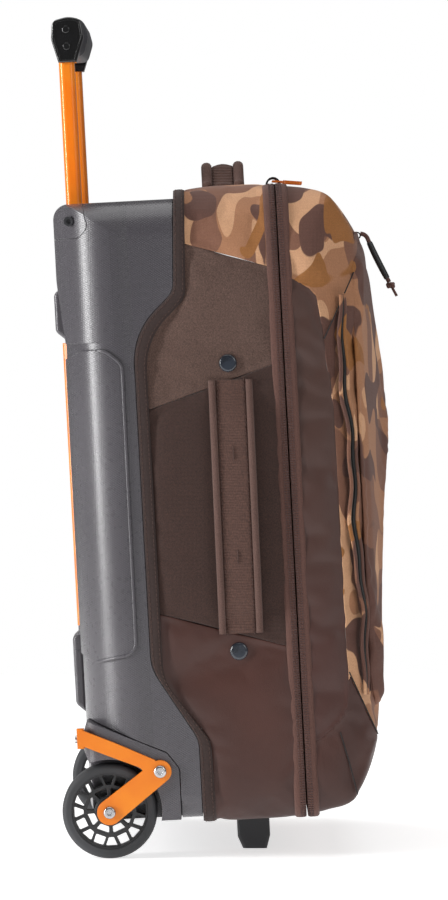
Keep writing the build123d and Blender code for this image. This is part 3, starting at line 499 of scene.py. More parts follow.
class Paint:
    """Node material that is built up by short calls."""

    def __init__(self, name, **sockets):
        self.material = bpy.data.materials.new(name)
        self.material.use_nodes = True
        self.tree = self.material.node_tree
        self.shader = self.tree.nodes["Principled BSDF"]
        self.place = self.node("ShaderNodeTexCoord").outputs["Object"]
        for socket, value in sockets.items():
            self.shader.inputs[socket.replace("_", " ")].default_value = value

    def node(self, kind, sockets=(), **settings):
        """New node with its settings, and its sockets set or linked."""
        made = self.tree.nodes.new(kind)
        for key, value in settings.items():
            setattr(made, key, value)
        self.fill(made, dict(sockets))
        return made

    def fill(self, node, sockets):
        """Link or set a node's sockets."""
        for key, value in sockets.items():
            if isinstance(value, bpy.types.NodeSocket):
                self.tree.links.new(value, node.inputs[key])
            else:
                node.inputs[key].default_value = value

    def noise(self, scale, detail=2.0, distortion=0.0, place=None):
        """Noise value; scale is in bumps for each metre."""
        sockets = {"Vector": place or self.place, "Scale": scale, "Detail": detail, "Distortion": distortion}
        return self.node("ShaderNodeTexNoise", sockets).outputs["Fac"]

    def stretched(self, scale, turn=(0, 0, 0)):
        """The piece's own place, scaled apart along its axes."""
        sockets = {"Vector": self.place, "Scale": scale, "Rotation": turn}
        return self.node("ShaderNodeMapping", sockets).outputs["Vector"]

    def wave(self, scale, direction, place=None, distortion=0.0):
        """Stripes across one direction, scale stripes for each metre."""
        sockets = {"Vector": place or self.place, "Scale": scale / BANDS_IN_SCALE, "Distortion": distortion}
        return self.node("ShaderNodeTexWave", sockets, bands_direction=direction).outputs["Fac"]

    def ramp(self, value, *stops):
        """Shades between two colours along a value."""
        made = self.node("ShaderNodeValToRGB", {"Fac": value})
        made.color_ramp.interpolation = "EASE"
        elements = made.color_ramp.elements
        for element, (position, colour) in zip(elements, stops):
            element.position = position
            element.color = colour if len(colour) == 4 else (*colour, 1)
        return made.outputs["Color"]

    def mix(self, factor, a, b, blend="MIX"):
        """One colour over another."""
        return self.node("ShaderNodeMix", {0: factor, 6: a, 7: b}, data_type="RGBA", blend_type=blend).outputs[2]

    def math(self, operation, a, b):
        """Arithmetic on two values."""
        return self.node("ShaderNodeMath", {0: a, 1: b}, operation=operation).outputs[0]

    def scaled(self, value, low, high):
        """A value from 0 to 1 spread between two others."""
        return self.node("ShaderNodeMapRange", {"Value": value, 3: low, 4: high}).outputs[0]

    def mottled(self, scale, detail, dark, light, low=0.35, high=0.7):
        """Slow drift between two colours given as seen on screen."""
        return self.ramp(self.noise(scale, detail), (low, linear(*dark)), (high, linear(*light)))

    def varied(self, scale, detail, low, high):
        """A value that drifts between two others, such as a roughness."""
        return self.scaled(self.noise(scale, detail), low, high)

    def bump(self, height, distance, normal=None):
        """Surface relief; distance is in metres."""
        sockets = {"Height": height, "Distance": distance, "Strength": 1.0}
        if normal:
            sockets["Normal"] = normal
        return self.node("ShaderNodeBump", sockets).outputs["Normal"]

    def rounded_edges(self, radius):
        """Softened look of moulded edges; radius is in metres."""
        return self.node("ShaderNodeBevel", {"Radius": radius}, samples=4).outputs["Normal"]

    def done(self, colour, rough, normal):
        """Finish the surface and hand over the material."""
        self.fill(self.shader, {"Base Color": colour, "Roughness": rough, "Normal": normal})
        return self.material


def weave(paint, threads, depth):
    """Relief of a plain weave with so many threads for each metre."""
    along = paint.wave(threads, "Z")
    over = paint.wave(threads, "Y")
    over_x = paint.wave(threads, "X")
    cloth = paint.math("ADD", along, paint.math("MULTIPLY", paint.math("ADD", over, over_x), 0.5))
    return paint.bump(cloth, depth)


def moulded(name, dark, light, rough, relief=0.00008, grain=900, coat=0.0):
    """Moulded plastic: fine grain, faint mottling and rubbed edges."""
    paint = Paint(name, Coat_Weight=coat, Coat_Roughness=0.08)
    tone = paint.mottled(14, 3, dark, light)
    shine = paint.varied(60, 4, rough - 0.06, rough + 0.08)
    return paint.done(tone, shine, paint.bump(paint.noise(grain, 2), relief, paint.rounded_edges(0.0007)))


PANEL_MIDDLE = 0.03  # middle of the tray's side panel, in metres from the bag's back
PANEL_HALF = 0.023
PANEL_CROWN = 0.0022
PANEL_REACH = 1.3  # half widths over which the crown's relief falls off


def tray_paint():
    """Satin shell with a fine slanted dimple pattern."""
    paint = Paint("tray_plastic", Coat_Weight=0.35, Coat_Roughness=0.22)
    slant = paint.stretched((1, 1, 1), (math.radians(32), 0, 0))
    other = paint.stretched((1, 1, 1), (math.radians(-32), 0, 0))
    dimples = paint.math("MULTIPLY", paint.wave(620, "Z", slant), paint.wave(620, "Z", other))
    tone = paint.mottled(9, 3, (70, 67, 72), (80, 77, 82), 0.3, 0.75)
    tone = paint.mix(paint.scaled(dimples, 0.0, 0.3), tone, linear(98, 97, 100))
    shine = paint.varied(220, 3, 0.25, 0.31)
    ahead = paint.node("ShaderNodeVectorMath", {0: paint.place, 1: AHEAD.tolist()}, operation="DOT_PRODUCT")
    middle = float(ORIGIN @ AHEAD) / 1000 + PANEL_MIDDLE
    off = paint.math("MULTIPLY", paint.math("SUBTRACT", ahead.outputs["Value"], middle), 1 / PANEL_HALF)
    off = paint.math("MAXIMUM", paint.math("MINIMUM", off, PANEL_REACH), -PANEL_REACH)
    crown = paint.math("SUBTRACT", 2.0, paint.math("MULTIPLY", off, off))
    swell = paint.bump(crown, PANEL_CROWN, paint.rounded_edges(0.0012))
    normal = paint.bump(dimples, 0.00014, swell)
    return paint.done(tone, shine, normal)


def painted_metal(name, dark, light, metallic, rough, coat):
    """Painted or bare metal with a faint orange-peel and rubbed patches."""
    paint = Paint(name, Metallic=metallic, Coat_Weight=coat, Coat_Roughness=0.1)
    tone = paint.mottled(25, 3, dark, light)
    shine = paint.varied(120, 4, rough - 0.05, rough + 0.08)
    return paint.done(tone, shine, paint.bump(paint.noise(500, 2), 0.00004, paint.rounded_edges(0.0008)))


def fabric(name, dark, light, threads=900, depth=0.00018, melange=0.5):
    """Woven cloth: two yarn tones that show as fine flecks, and a thread relief."""
    paint = Paint(name, Sheen_Weight=0.08, Sheen_Roughness=0.45)
    dark, light = linear(*dark), linear(*light)
    flecks = paint.noise(1.0, 3, place=paint.stretched((700, 700, 2600)))
    across = paint.noise(1.0, 3, place=paint.stretched((2600, 2600, 640)))
    yarn = paint.math("ADD", paint.math("MULTIPLY", flecks, 0.5), paint.math("MULTIPLY", across, 0.5))
    spread = 0.16 * (1.4 - melange)
    tone = paint.ramp(yarn, (0.5 - spread, dark), (0.5 + spread, light))
    tone = paint.mix(paint.varied(18, 3, 0.0, 0.3), tone, light)
    return paint.done(tone, 0.85, weave(paint, threads, depth))


def camo_paint():
    """Printed cloth: rounded patches of four earthy tones over a tan ground."""
    paint = Paint("camo_fabric", Sheen_Weight=0.08, Sheen_Roughness=0.4)
    lying = paint.stretched((1.0, 1.25, 0.85))
    layers = [  # colour, blobs for each metre, shift of the noise, level above which it shows
        (linear(160, 112, 80), 19, 0.0, 0.52), (linear(122, 82, 63), 21, 3.3, 0.53),
        (linear(92, 60, 50), 23, 7.9, 0.575), (linear(146, 94, 46), 24, 12.4, 0.66),
    ]
    tone = paint.mix(0.5, linear(200, 154, 118), linear(194, 146, 110))
    for colour, scale, shift, level in layers:
        offset = (shift, shift * 0.6, shift * 1.7)
        moved = paint.node("ShaderNodeVectorMath", {0: lying, 1: offset}, operation="ADD")
        blobs = paint.noise(scale, 0.6, 0.55, place=moved.outputs[0])
        mask = paint.ramp(blobs, (level - 0.004, (0, 0, 0)), (level + 0.004, (1, 1, 1)))
        tone = paint.mix(mask, tone, colour)
    flecks = paint.noise(1.0, 2, place=paint.stretched((1300, 1300, 1300)))
    flecks = paint.ramp(flecks, (0.3, (0.25, 0.25, 0.25)), (0.7, (0.8, 0.8, 0.8)))
    tone = paint.mix(0.22, tone, flecks, "OVERLAY")
    return paint.done(tone, 0.78, weave(paint, 850, 0.0001))


def coated_paint():
    """Smooth coated cloth with a fine pebbled grain and slow colour drift."""
    paint = Paint("coated_fabric", Coat_Weight=0.05, Coat_Roughness=0.35)
    tone = paint.mottled(8, 4, (58, 26, 17), (76, 37, 26), 0.3, 0.72)
    grain = paint.noise(1400, 2)
    tone = paint.mix(paint.scaled(grain, 0.0, 0.35), tone, linear(44, 26, 21))
    return paint.done(tone, paint.varied(200, 3, 0.46, 0.6), paint.bump(grain, 0.00012))


def wing_paint():
    """Darker coated cloth of the lid's side panels, greyer towards the top."""
    paint = Paint("wing_fabric", Coat_Weight=0.06, Coat_Roughness=0.35)
    height = paint.node("ShaderNodeSeparateXYZ", {0: paint.place}).outputs[2]
    drift = paint.math("ADD", height, paint.varied(10, 3, -0.12, 0.12))
    tone = paint.ramp(drift, (0.12, linear(66, 31, 23)), (0.42, linear(68, 42, 34)))
    grain = paint.noise(1200, 2)
    tone = paint.mix(paint.scaled(grain, 0.0, 0.3), tone, linear(52, 38, 34))
    return paint.done(tone, paint.varied(150, 3, 0.42, 0.56), paint.bump(grain, 0.0001))


def snap_paint():
    """Dark lacquered snap cap."""
    paint = Paint("snap_black", Coat_Weight=0.7, Coat_Roughness=0.08)
    tone = paint.mottled(80, 2, (22, 26, 34), (44, 50, 60), 0.3)
    return paint.done(tone, paint.varied(300, 3, 0.16, 0.28), paint.rounded_edges(0.001))


def pull_paint():
    """Orange moulded pull tab."""
    paint = Paint("orange_plastic", Coat_Weight=0.2, Coat_Roughness=0.2)
    tone = paint.mottled(60, 3, (240, 118, 30), (255, 140, 52))
    return paint.done(tone, paint.varied(200, 3, 0.32, 0.48), paint.rounded_edges(0.0006))


def webbing_paint():
    """Ribbed woven tape."""
    paint = Paint("webbing_fabric", Sheen_Weight=0.1, Sheen_Roughness=0.4)
    flecks = paint.noise(1.0, 3, place=paint.stretched((1800, 1800, 500)))
    tone = paint.ramp(flecks, (0.35, linear(70, 47, 40)), (0.68, linear(95, 66, 56)))
    ribs = paint.wave(430, "Z", distortion=0.4)
    return paint.done(tone, 0.82, paint.bump(ribs, 0.00035))


MOULDED = {  # dark and light tone, roughness, and where they differ, relief, grain and coat
    "black_plastic": ((38, 38, 41), (54, 54, 58), 0.46),
    "gloss_black": ((8, 8, 9), (16, 16, 18), 0.12, 0.00001, 900, 0.8),
    "grip_plastic": ((62, 62, 65), (84, 84, 88), 0.5, 0.00012, 1100),
    "wheel_plastic": ((40, 41, 43), (58, 59, 61), 0.4),
    "tyre_rubber": ((44, 45, 47), (60, 61, 64), 0.62, 0.00016, 700),
    # near-black that paints the shade in the seam grooves, inside the side pockets' slits and along the middle of
    # the pocket zipper
    "painted_shade": ((16, 12, 11), (30, 24, 22), 0.6),
    "sleeve": ((24, 26, 26), (42, 44, 44), 0.4),
    "coil": ((70, 48, 45), (96, 68, 63), 0.5),
}
METALS = {  # dark and light tone, metallic, roughness, coat
    "orange_tube": ((255, 128, 8), (255, 146, 26), 0.1, 0.3, 0.5),
    "orange_cast": ((226, 118, 0), (236, 134, 4), 0.05, 0.42, 0.12),
    "aluminium_bare": ((176, 176, 178), (205, 205, 206), 0.95, 0.34, 0.0),
    "steel": ((178, 178, 180), (215, 215, 216), 1.0, 0.22, 0.0),
    "zipper_metal": ((58, 58, 60), (92, 92, 95), 0.9, 0.3, 0.0),
}
FABRICS = {  # dark and light yarn, and where they differ, threads for each metre, relief, evenness of the mix
    "heather_fabric": ((53, 36, 30), (105, 80, 70)),
    "heather_dark": ((30, 16, 11), (68, 43, 35)),
    "tape_fabric": ((76, 50, 43), (104, 71, 62), 1500, 0.0001, 0.3),
    "binding_fabric": ((34, 22, 19), (62, 45, 41), 1100, 0.00016, 0.4),
    "lining_fabric": ((70, 66, 64), (104, 98, 94), 1000, 0.0001, 0.3),
    "cord_fabric": ((74, 50, 46), (112, 78, 70), 1600, 0.00015, 0.4),
    "piping": ((74, 50, 43), (104, 78, 70), 1400, 0.0001, 0.3),
    "thread": ((58, 40, 35), (88, 62, 54), 2000, 0.00005, 0.3),
}
# Looks for the record's slots. wing_fabric, piping, thread, sleeve, coil and the near-black of painted shade have
# no slot of their own.
paints = {
    "tray_plastic": tray_paint(), "orange_plastic": pull_paint(), "camo_fabric": camo_paint(),
    "coated_fabric": coated_paint(), "webbing_fabric": webbing_paint(), "snap_black": snap_paint(),
    "wing_fabric": wing_paint(),
    **{name: moulded(name, *values) for name, values in MOULDED.items()},
    **{name: painted_metal(name, *values) for name, values in METALS.items()},
    **{name: fabric(name, *values) for name, values in FABRICS.items()},
}


# ---- the pocket's cord, from its slider down to its knot ----
CORD_DIAMETER = 3.8
CORD_ROUTE = [(258.4, 477.8), (263.0, 477.2), (266.0, 469.0), (270.3, 458.3), (275.5, 446.5), (281.2, 434.6)]

cord_curve = bpy.data.curves.new("pull_cord_line", "CURVE")
cord_curve.dimensions = "3D"
cord_curve.resolution_u = 16
cord_spline = cord_curve.splines.new("NURBS")
cord_spline.points.add(len(CORD_ROUTE) - 1)
for control, place in zip(cord_spline.points, to_world([(0, u, v) for u, v in CORD_ROUTE])):
    control.co = (*place, 1)
cord_spline.order_u = 3
cord_spline.use_endpoint_u = True
cord_line_object = bpy.data.objects.new("pull_cord_path", cord_curve)
cord_mesh = bpy.data.meshes.new_from_object(cord_line_object)
cord_line = to_bag(vertices_of(cord_mesh))
cord_curve.bevel_depth = CORD_DIAMETER / 2000
cord_curve.bevel_resolution = 4
cord_curve.use_fill_caps = True
pull_cord_piece = bpy.data.objects.new("cord", cord_curve)
scene.collection.objects.link(pull_cord_piece)
bpy.data.objects.remove(cord_line_object)
finished(pull_cord_piece, "pocket_pull", "cord_fabric", "pull_cord")

SLEEVE_HEIGHTS = (438, 470)
covered = (cord_line[:, 2] > SLEEVE_HEIGHTS[0]) & (cord_line[:, 2] < SLEEVE_HEIGHTS[1])
sleeve_line = evenly(cord_line[covered], 1.5)
bulge = 2.45 + 0.35 * np.sin(np.linspace(0, math.pi, len(sleeve_line))) ** 0.5
ring = np.linspace(0, 2 * math.pi, 14, endpoint=False)
sleeve_profile = np.stack([np.stack([np.cos(ring) * b * 0.94, np.sin(ring) * b], -1) for b in bulge])
sleeve_along = directions(sleeve_line)
sleeve_lift = units(np.cross(sleeve_along, ACROSS))
sleeve_shape = sweep(sleeve_line, np.cross(sleeve_along, sleeve_lift), sleeve_lift, sleeve_profile)
sleeve = add("cord_sleeve", sleeve_shape, "pocket_pull", "cord_fabric", finish="sleeve")


KNOT_POINTS = 60


def knot_line(centre, size):
    """Closed line that winds over and under itself like an overhand knot."""
    t = np.linspace(0, 2 * math.pi, KNOT_POINTS, endpoint=False)
    x = np.sin(t) + 2 * np.sin(2 * t)
    y = np.cos(t) - 2 * np.cos(2 * t)
    z = -np.sin(3 * t)
    return centre + np.column_stack([x, y * 0.9, z * 1.1]) * size / 3


end = np.array([0, *CORD_ROUTE[-1]], float)
fall = units(end[None] - np.array([[0, *CORD_ROUTE[-2]]]))[0]
centre = end + fall * 3.0
knot_lift = np.tile([0.3, 0.5, 0.8], (KNOT_POINTS, 1))
knot_parts = [rod(knot_line(centre, 3.1), 1.75, 10, closed=True, lift=knot_lift)]
for lean in (-1.4, 1.4):
    t = np.linspace(0, 1, 7)[:, None]
    tail = centre + fall * (1.5 + 9.0 * t) + ACROSS * lean * (0.6 + 0.9 * t)
    knot_parts.append(rod(tail, 1.15, 8))
knot = add("cord_knot", joined(knot_parts), "pocket_pull", "cord_fabric", "pull_knot")


# ---- main compartment: sewn panels round the bag ------------------------------------------
def wall_patch(bottom, top, step=4.5):
    """Grid between two seams of the wall, each a function of depth that gives a distance round the bag."""
    rows = max(3, round((top(120.0) - bottom(120.0)) / step) + 1)
    columns = round((MOUTH - 74) / step)
    t = np.linspace(0, 1, rows)[:, None]
    w = np.linspace(0, 1, columns)[None, :]
    depth = np.broadcast_to(70 + (MOUTH - 72) * w, (rows, columns))
    for _ in range(12):  # the rear edge depends on the height, and the height on the depth
        s = bottom(depth) + (top(depth) - bottom(depth)) * t
        height = girth.at(s)[1]
        rear = np.interp(height, *FRONT_EDGE) - 1.5
        depth = rear + (MOUTH - 3 - rear) * w
    x, v, _, _ = girth.at(bottom(depth) + (top(depth) - bottom(depth)) * t)
    points = np.stack([x, depth, v], -1).reshape(-1, 3)
    return points, grid_faces(rows, columns)


def along_left(seam):
    """Distance round the bag of a seam on the left wall."""
    return lambda depth: girth.place_of(seam_height(seam, depth))


def along_right(seam):
    """Distance round the bag of the same seam on the right wall."""
    return lambda depth: girth.length - girth.place_of(seam_height(seam, depth))


def flipped(points, faces):
    """The same patch on the other side of the bag."""
    return points * np.array([-1, 1, 1]), [list(f)[::-1] for f in faces]


top_patch = wall_patch(along_left(SEAM_TOP), along_right(SEAM_TOP))
panel("gusset_top_panel", top_patch, "root", "camo_fabric", "gusset_top", seed=2, crown=1.4)
base_patch = wall_patch(lambda d: along_right(SEAM_LOWER)(d) - girth.length, along_left(SEAM_LOWER))
panel("base_wrap_panel", base_patch, "root", "coated_fabric", "base_wrap", seed=3, crown=1.3)
for node, slot_name, low_seam, high_seam, seed in (
    ("side_panels_upper", "heather_fabric", SEAM_UPPER, SEAM_TOP, 4),
    ("side_panels_middle", "heather_dark", SEAM_LOWER, SEAM_UPPER, 6),
):
    left_patch = wall_patch(along_left(low_seam), along_left(high_seam))
    panel(node + "_left", left_patch, "root", slot_name, node, seed=seed)
    panel(node + "_right", flipped(*left_patch), "root", slot_name, node, seed=seed + 1)


# ---- binding round the tray's edge ----
def binding():
    """Folded strip that covers the joint of tray and cloth, with a rounded face."""
    band = Girth(SOFT_HALF + 2.2, SOFT_LOW - 0.5, SOFT_HIGH + 0.7, BASE_CORNER + 1, TOP_CORNER + 1)
    places, side, lift = band.track(np.arange(0, band.length, BAND_STEP))
    count = len(places)
    inner = np.clip(places[:, 2], SOFT_LOW, SOFT_HIGH)
    rear = np.interp(inner, *REAR_EDGE) + 0.2
    front = np.interp(inner, *FRONT_EDGE) - 0.2
    w = np.linspace(0, 1, 9)
    height = 1.5 * np.sin(math.pi * np.clip(w, 0.03, 0.97)) ** 0.45
    top = [(rear + (front - rear) * a, np.full(count, h)) for a, h in zip(w, height)]
    under = [(front - 0.5, np.full(count, -2.2)), (rear + 0.5, np.full(count, -2.2))]
    profile = np.stack([np.stack(pair, -1) for pair in top + under], 1)
    rows = [places + side * (rear + (front - rear) * a)[:, None] + lift * 1.32 for a in (0.2, 0.8)]
    return sweep(places, side, lift, profile, closed=True), rows, lift


binding_strip, binding_rows, binding_lift = binding()
add("edge_binding_strip", binding_strip, "root", "binding_fabric", "edge_binding")
rows = joined([stitches(row, binding_lift, 2.6, 3.8, 0.3, closed=True) for row in binding_rows])
add("edge_binding_stitches", rows, "root", "binding_fabric", finish="thread")


# ---- zipper round the mouth ----
def zipper_half(direction):
    """Tape and toothed coil of one half; direction is 1 for the lid's half."""
    edge = MOUTH + direction * 0.55
    profile = [(0, -0.6), (0, 1.3), (0.5, 2.0), (2.0, 2.5), (5.6, 2.5), (8.0, 2.3), (9.3, 1.5), (9.9, 0.2),
               (9.9, -0.6)]
    places, side, lift = girth.track(np.arange(0, girth.length, BAND_STEP), edge, direction)
    tape = sweep(places, side, lift, profile if direction > 0 else profile[::-1], closed=True)
    ribs = []
    foot, crest, tall = 0.62, 0.35, 0.75  # a tooth's half lengths and height
    x, v, nx, nv = girth.at(np.arange(0, girth.length - 1.0, 2.1))
    for start, width in ((0.5, 2.2), (3.4, 1.5)):
        for a, b, c, d in zip(x, v, nx, nv):
            if b < SOFT_LOW + 1:  # the hinge side has no teeth
                continue
            out, run = np.array([c, 0, d]), np.array([d, 0, -c])
            base = np.array([a, edge + direction * start, b]) + out * 2.3
            wide = np.array([0, direction * width, 0])
            for half, up in ((foot, out * 0), (crest, out * tall)):
                ribs += [base - run * half + up, base + run * half + up,
                         base + run * half + up + wide, base - run * half + up + wide]
    points = np.array(ribs).reshape(-1, 3)
    box = [[4, 5, 6, 7], [0, 1, 5, 4], [1, 2, 6, 5], [2, 3, 7, 6], [3, 0, 4, 7], [3, 2, 1, 0]]
    if direction < 0:
        box = [face[::-1] for face in box]
    faces = [[i * 8 + k for k in face] for i in range(len(points) // 8) for face in box]
    return tape, (points, faces)


for direction, body, node in ((-1, "root", "zipper_half_main"), (1, "lid", "zipper_half_lid")):
    tape, teeth = zipper_half(direction)
    add(node + "_tape", tape, body, "tape_fabric", node)
    add(node + "_coil", teeth, body, "tape_fabric", finish="coil", smooth=False)


# ---- lid ----------------------------------------------------------------------------------
CORE_DEPTH = MOUTH + 5.0  # the looks that find the lid's surface come in towards a smaller line at this depth
CORE_INSET = 70.0
LID_STEP = 6.0
RIM_DEPTH = 150  # behind the lid's rim
SIDE_ZONE = 110  # beyond this distance from the middle, a face belongs to a side of the lid


def lid_shell():
    """Grid over the lid's outside, from its rim forward over the edges to the middle of its front."""
    virtual = Girth(SOFT_HALF, SOFT_LOW, SOFT_HIGH, 76, 76)
    columns = round(virtual.length / LID_STEP)
    s = np.linspace(0, virtual.length, columns, endpoint=False)
    x, v, nx, nv = virtual.at(s)
    core_x, core_v = x - nx * CORE_INSET, v - nv * CORE_INSET
    middle_v = (SOFT_LOW + SOFT_HIGH) / 2
    rim = MOUTH + 1.9
    # each row: how much of the smaller line is kept, its depth, and how far the looks lean out and forward
    rows = [(1.0, depth, 1.0, 0.0) for depth in (rim, CORE_DEPTH - 1)]
    rows += [(1.0, CORE_DEPTH, math.cos(turn), math.sin(turn)) for turn in np.linspace(0, math.pi / 2, 30)]
    rows += [(keep, CORE_DEPTH, 0.0, 1.0) for keep in np.linspace(0.96, 0.66, 5)]
    points = []
    for keep, depth, out, forward in rows:
        heights = core_v if keep == 1.0 else middle_v + (core_v - middle_v) * keep
        for a, c, d, f in zip(core_x * keep, heights, nx * out, nv * out):
            way = Vector((d, forward, f)).normalized()
            start = Vector((a, depth, c))
            hit = lid_tree.ray_cast(start + way * 260, -way)[0]
            points.append(hit if hit else start + way * CORE_INSET)
    return np.array(points), grid_faces(len(rows), columns, wrap=True)[:, ::-1]


WING_LINE = rounded([(RIM_DEPTH, 452), (197, 443), (215, 430), (224.5, 340), (225.8, 110), (222, 76), (199, 57),
                     (RIM_DEPTH, 36)], [4, 14, 60, 60, 14, 4], 9)
BASE_LINE = rounded([(RIM_DEPTH, 36), (199, 57), (222, 76), (225.8, 112), (247, 57), (330, 24)],
                    [4, 14, 0.5, 1], 9)
BASE_CUT = BASE_LINE[BASE_LINE[:, 0] > 224]  # the part that the wings' own line doesn't cut


def inside(points, loop):
    """Whether each (depth, height) lies in a closed loop."""
    depth, height = points[:, 0], points[:, 1]
    found = np.zeros(len(points), bool)
    for (a, b), (c, d) in zip(loop, np.roll(loop, -1, 0)):
        crosses = (b > height) != (d > height)
        with np.errstate(divide="ignore", invalid="ignore"):
            found ^= crosses & (depth < (c - a) * (height - b) / (d - b) + a)
    return found


def cut_along(mesh, line, sides_only):
    """Cut faces where a side line of (depth, height) points crosses them."""
    for (a, b), (c, d) in zip(line, line[1:]):
        run = np.array([c - a, d - b])
        length = np.linalg.norm(run)
        run /= length
        mesh.faces.ensure_lookup_table()
        centres = np.array([face.calc_center_median() for face in mesh.faces])
        t = (centres[:, 1] - a) * run[0] + (centres[:, 2] - b) * run[1]
        off = np.abs((centres[:, 1] - a) * run[1] - (centres[:, 2] - b) * run[0])
        chosen = (off < 9) & (t >= -1.0) & (t <= length + 1.0)
        if sides_only:
            chosen &= np.abs(centres[:, 0]) > SIDE_ZONE
        near = [mesh.faces[i] for i in np.flatnonzero(chosen)]
        geometry = list({item for face in near for item in [face, *face.edges, *face.verts]})
        plane = {"plane_co": (0, a, b), "plane_no": (0, run[1], -run[0])}
        bmesh.ops.bisect_plane(mesh, geom=geometry, dist=0.05, **plane)


def lid_parts():
    """The lid's shell cut into its sewn panels, each as points and faces."""
    points, faces = lid_shell()
    mesh = bmesh.new()
    made = [mesh.verts.new(p) for p in points]
    for face in faces:
        mesh.faces.new([made[i] for i in face])
    cut_along(mesh, WING_LINE, True)
    cut_along(mesh, BASE_CUT, False)
    mesh.verts.index_update()
    base_loop = np.concatenate([BASE_LINE, [(330, -80), (RIM_DEPTH, -80)]])
    parts = {"wing_left": [], "wing_right": [], "base": [], "front": []}
    centres = np.array([face.calc_center_median() for face in mesh.faces])
    on_base = inside(centres[:, 1:], base_loop)
    on_wing = inside(centres[:, 1:], WING_LINE) & (np.abs(centres[:, 0]) > SIDE_ZONE)
    for face, x, base, wing in zip(mesh.faces, centres[:, 0], on_base, on_wing):
        side_name = "wing_left" if x < 0 else "wing_right"
        parts["base" if base else side_name if wing else "front"].append([v.index for v in face.verts])
    points = np.array([v.co for v in mesh.verts])
    mesh.free()
    return {name: picked(points, members) for name, members in parts.items()}


lid_panels = lid_parts()
panel("lid_front_panel", lid_panels["front"], "lid", "camo_fabric", "lid_front", seed=11)
panel("lid_base_panel", lid_panels["base"], "lid", "coated_fabric", "lid_base", seed=12, crown=1.2)
for side_name in SIDES:
    panel(f"lid_wing_{side_name}", lid_panels["wing_" + side_name], "lid", "coated_fabric", "lid_wings",
          seed=13, crown=1.8, finish="wing_fabric")


# ---- pocket on the lid's front ----
def skin_depth(tree, x, v, fallback):
    """Depth of the surface that a look from the front meets at (x, height)."""
    hit = tree.ray_cast(Vector((float(x), OUTSIDE, float(v))), Vector((0, -1, 0)))[0]
    return hit.y if hit else fallback


POCKET_CORNERS = (24, 16)  # radii at its foot and its top
POCKET_EDGE = 13  # radius of its rounded edge


def pocket_shell():
    """Stuffed pocket: rounded edge rising off the lid, full in the middle."""
    low, high = node_box("front_pocket")
    outline = Girth(high[0] - 1.0, low[2] + 2.0, high[2] - 2.0, *POCKET_CORNERS)
    columns = round(outline.length / 5)
    s = np.linspace(0, outline.length, columns, endpoint=False)
    rows = [(POCKET_EDGE * (1 - math.cos(turn)), math.sin(turn)) for turn in np.linspace(0.0, math.pi / 2, 8)]
    rows += [(POCKET_EDGE + d, 1.0) for d in np.linspace(5, 136, 26)]
    points = []
    middle = (outline.low + outline.high) / 2
    for inset, full in rows:
        shrunk = Girth(outline.half - inset, outline.low + inset, outline.high - inset,
                       *[max(radius - inset, 0.5) for radius in POCKET_CORNERS])
        x, v, _, _ = shrunk.at(s / outline.length * shrunk.length)
        for a, b in zip(x, v):
            lid_skin = skin_depth(lid_tree, a, b, 242.0)
            top_skin = skin_depth(pocket_tree, a * 0.985, middle + (b - middle) * 0.97, lid_skin + 10)
            points.append((a, lid_skin - 1.5 + (max(top_skin - 0.8 - lid_skin, 6) + 1.5) * full, b))
    faces = [list(f) for f in grid_faces(len(rows), columns, wrap=True)]
    base = (len(rows) - 1) * columns
    for i in range(columns // 2):  # the slit left in the middle is closed by a strip of quads
        ring = [i, i + 1, (columns - i - 1) % columns, (columns - i) % columns]
        faces.append([base + k for k in dict.fromkeys(ring)])
    return np.array(points), faces


panel("front_pocket_panel", pocket_shell(), "lid", "camo_fabric", "front_pocket", seed=21, crown=0.3,
      pressure=3.0, slack=0.03, wrinkle=1.2, lining=False)


def laid(tree, line, lift=0.0):
    """Points of the left side's (depth, height) line laid on a surface, with its outward directions."""
    places, outward = [], []
    for depth, height in line:
        hit, normal, _, _ = tree.ray_cast(Vector((-OUTSIDE, float(depth), float(height))), Vector((1, 0, 0)))
        if hit:
            normal = normal if normal.x < 0 else -normal
            places.append(hit + normal * lift)
            outward.append(normal)
    return np.array(places), np.array(outward)


ZIP_FOOT, ZIP_TOP = 92, 432  # heights of the side pockets' zippers


def side_zip(flip):
    """Side-pocket zipper beside the big pocket, standing in wavy puckers; its near-black tape is painted shade
    inside the slit.
    """
    height = np.arange(ZIP_FOOT, ZIP_TOP, 4.0)
    lean = 6.5 * (ZIP_TOP - height) / (ZIP_TOP - ZIP_FOOT)
    depth = 233.5 + lean + 1.6 * np.sin(height / 21) + 0.9 * np.sin(height / 8.3 + 1)
    depth = np.where(height > 400, depth - (height - 400) * 0.02, depth)
    places, outward = laid(lid_tree, np.column_stack([depth, height]), 0.8)
    places, outward = places * flip, outward * flip
    across = units(np.cross(directions(places), outward))
    taper = np.sin(np.linspace(0.05, math.pi - 0.05, len(places))) ** 0.35
    profile = np.array([(-3.4, -0.6), (-3.2, 0.9), (-1.6, 1.5), (-0.5, 0.5), (0.5, 0.5), (1.6, 1.5), (3.2, 0.9),
                        (3.4, -0.6)])
    shaped = np.stack([profile * np.array([t, 1.0]) for t in taper])
    tape = sweep(places, across, outward, shaped)
    coil = rod(places + outward * 1.3, 0.75, lift=outward)
    lip = rod(places + outward * 1.2 + across * 4.3 * taper[:, None], 1.9, 10, 0.7, lift=outward)
    rim = rod(places + outward * 1.0 - across * 4.4 * taper[:, None], 1.7, 10, 0.7, lift=outward)
    return tape, coil, joined([lip, rim])


for side_name, flip in SIDES.items():
    tape, coil, lips = side_zip(flip)
    # the tape's near-black is painted shade inside the slit
    add(f"side_zip_{side_name}", tape, "lid", "tape_fabric", finish="painted_shade")
    add(f"side_zip_coil_{side_name}", coil, "lid", "tape_fabric", finish="sleeve")
    add(f"side_zip_lips_{side_name}", lips, "lid", "camo_fabric")
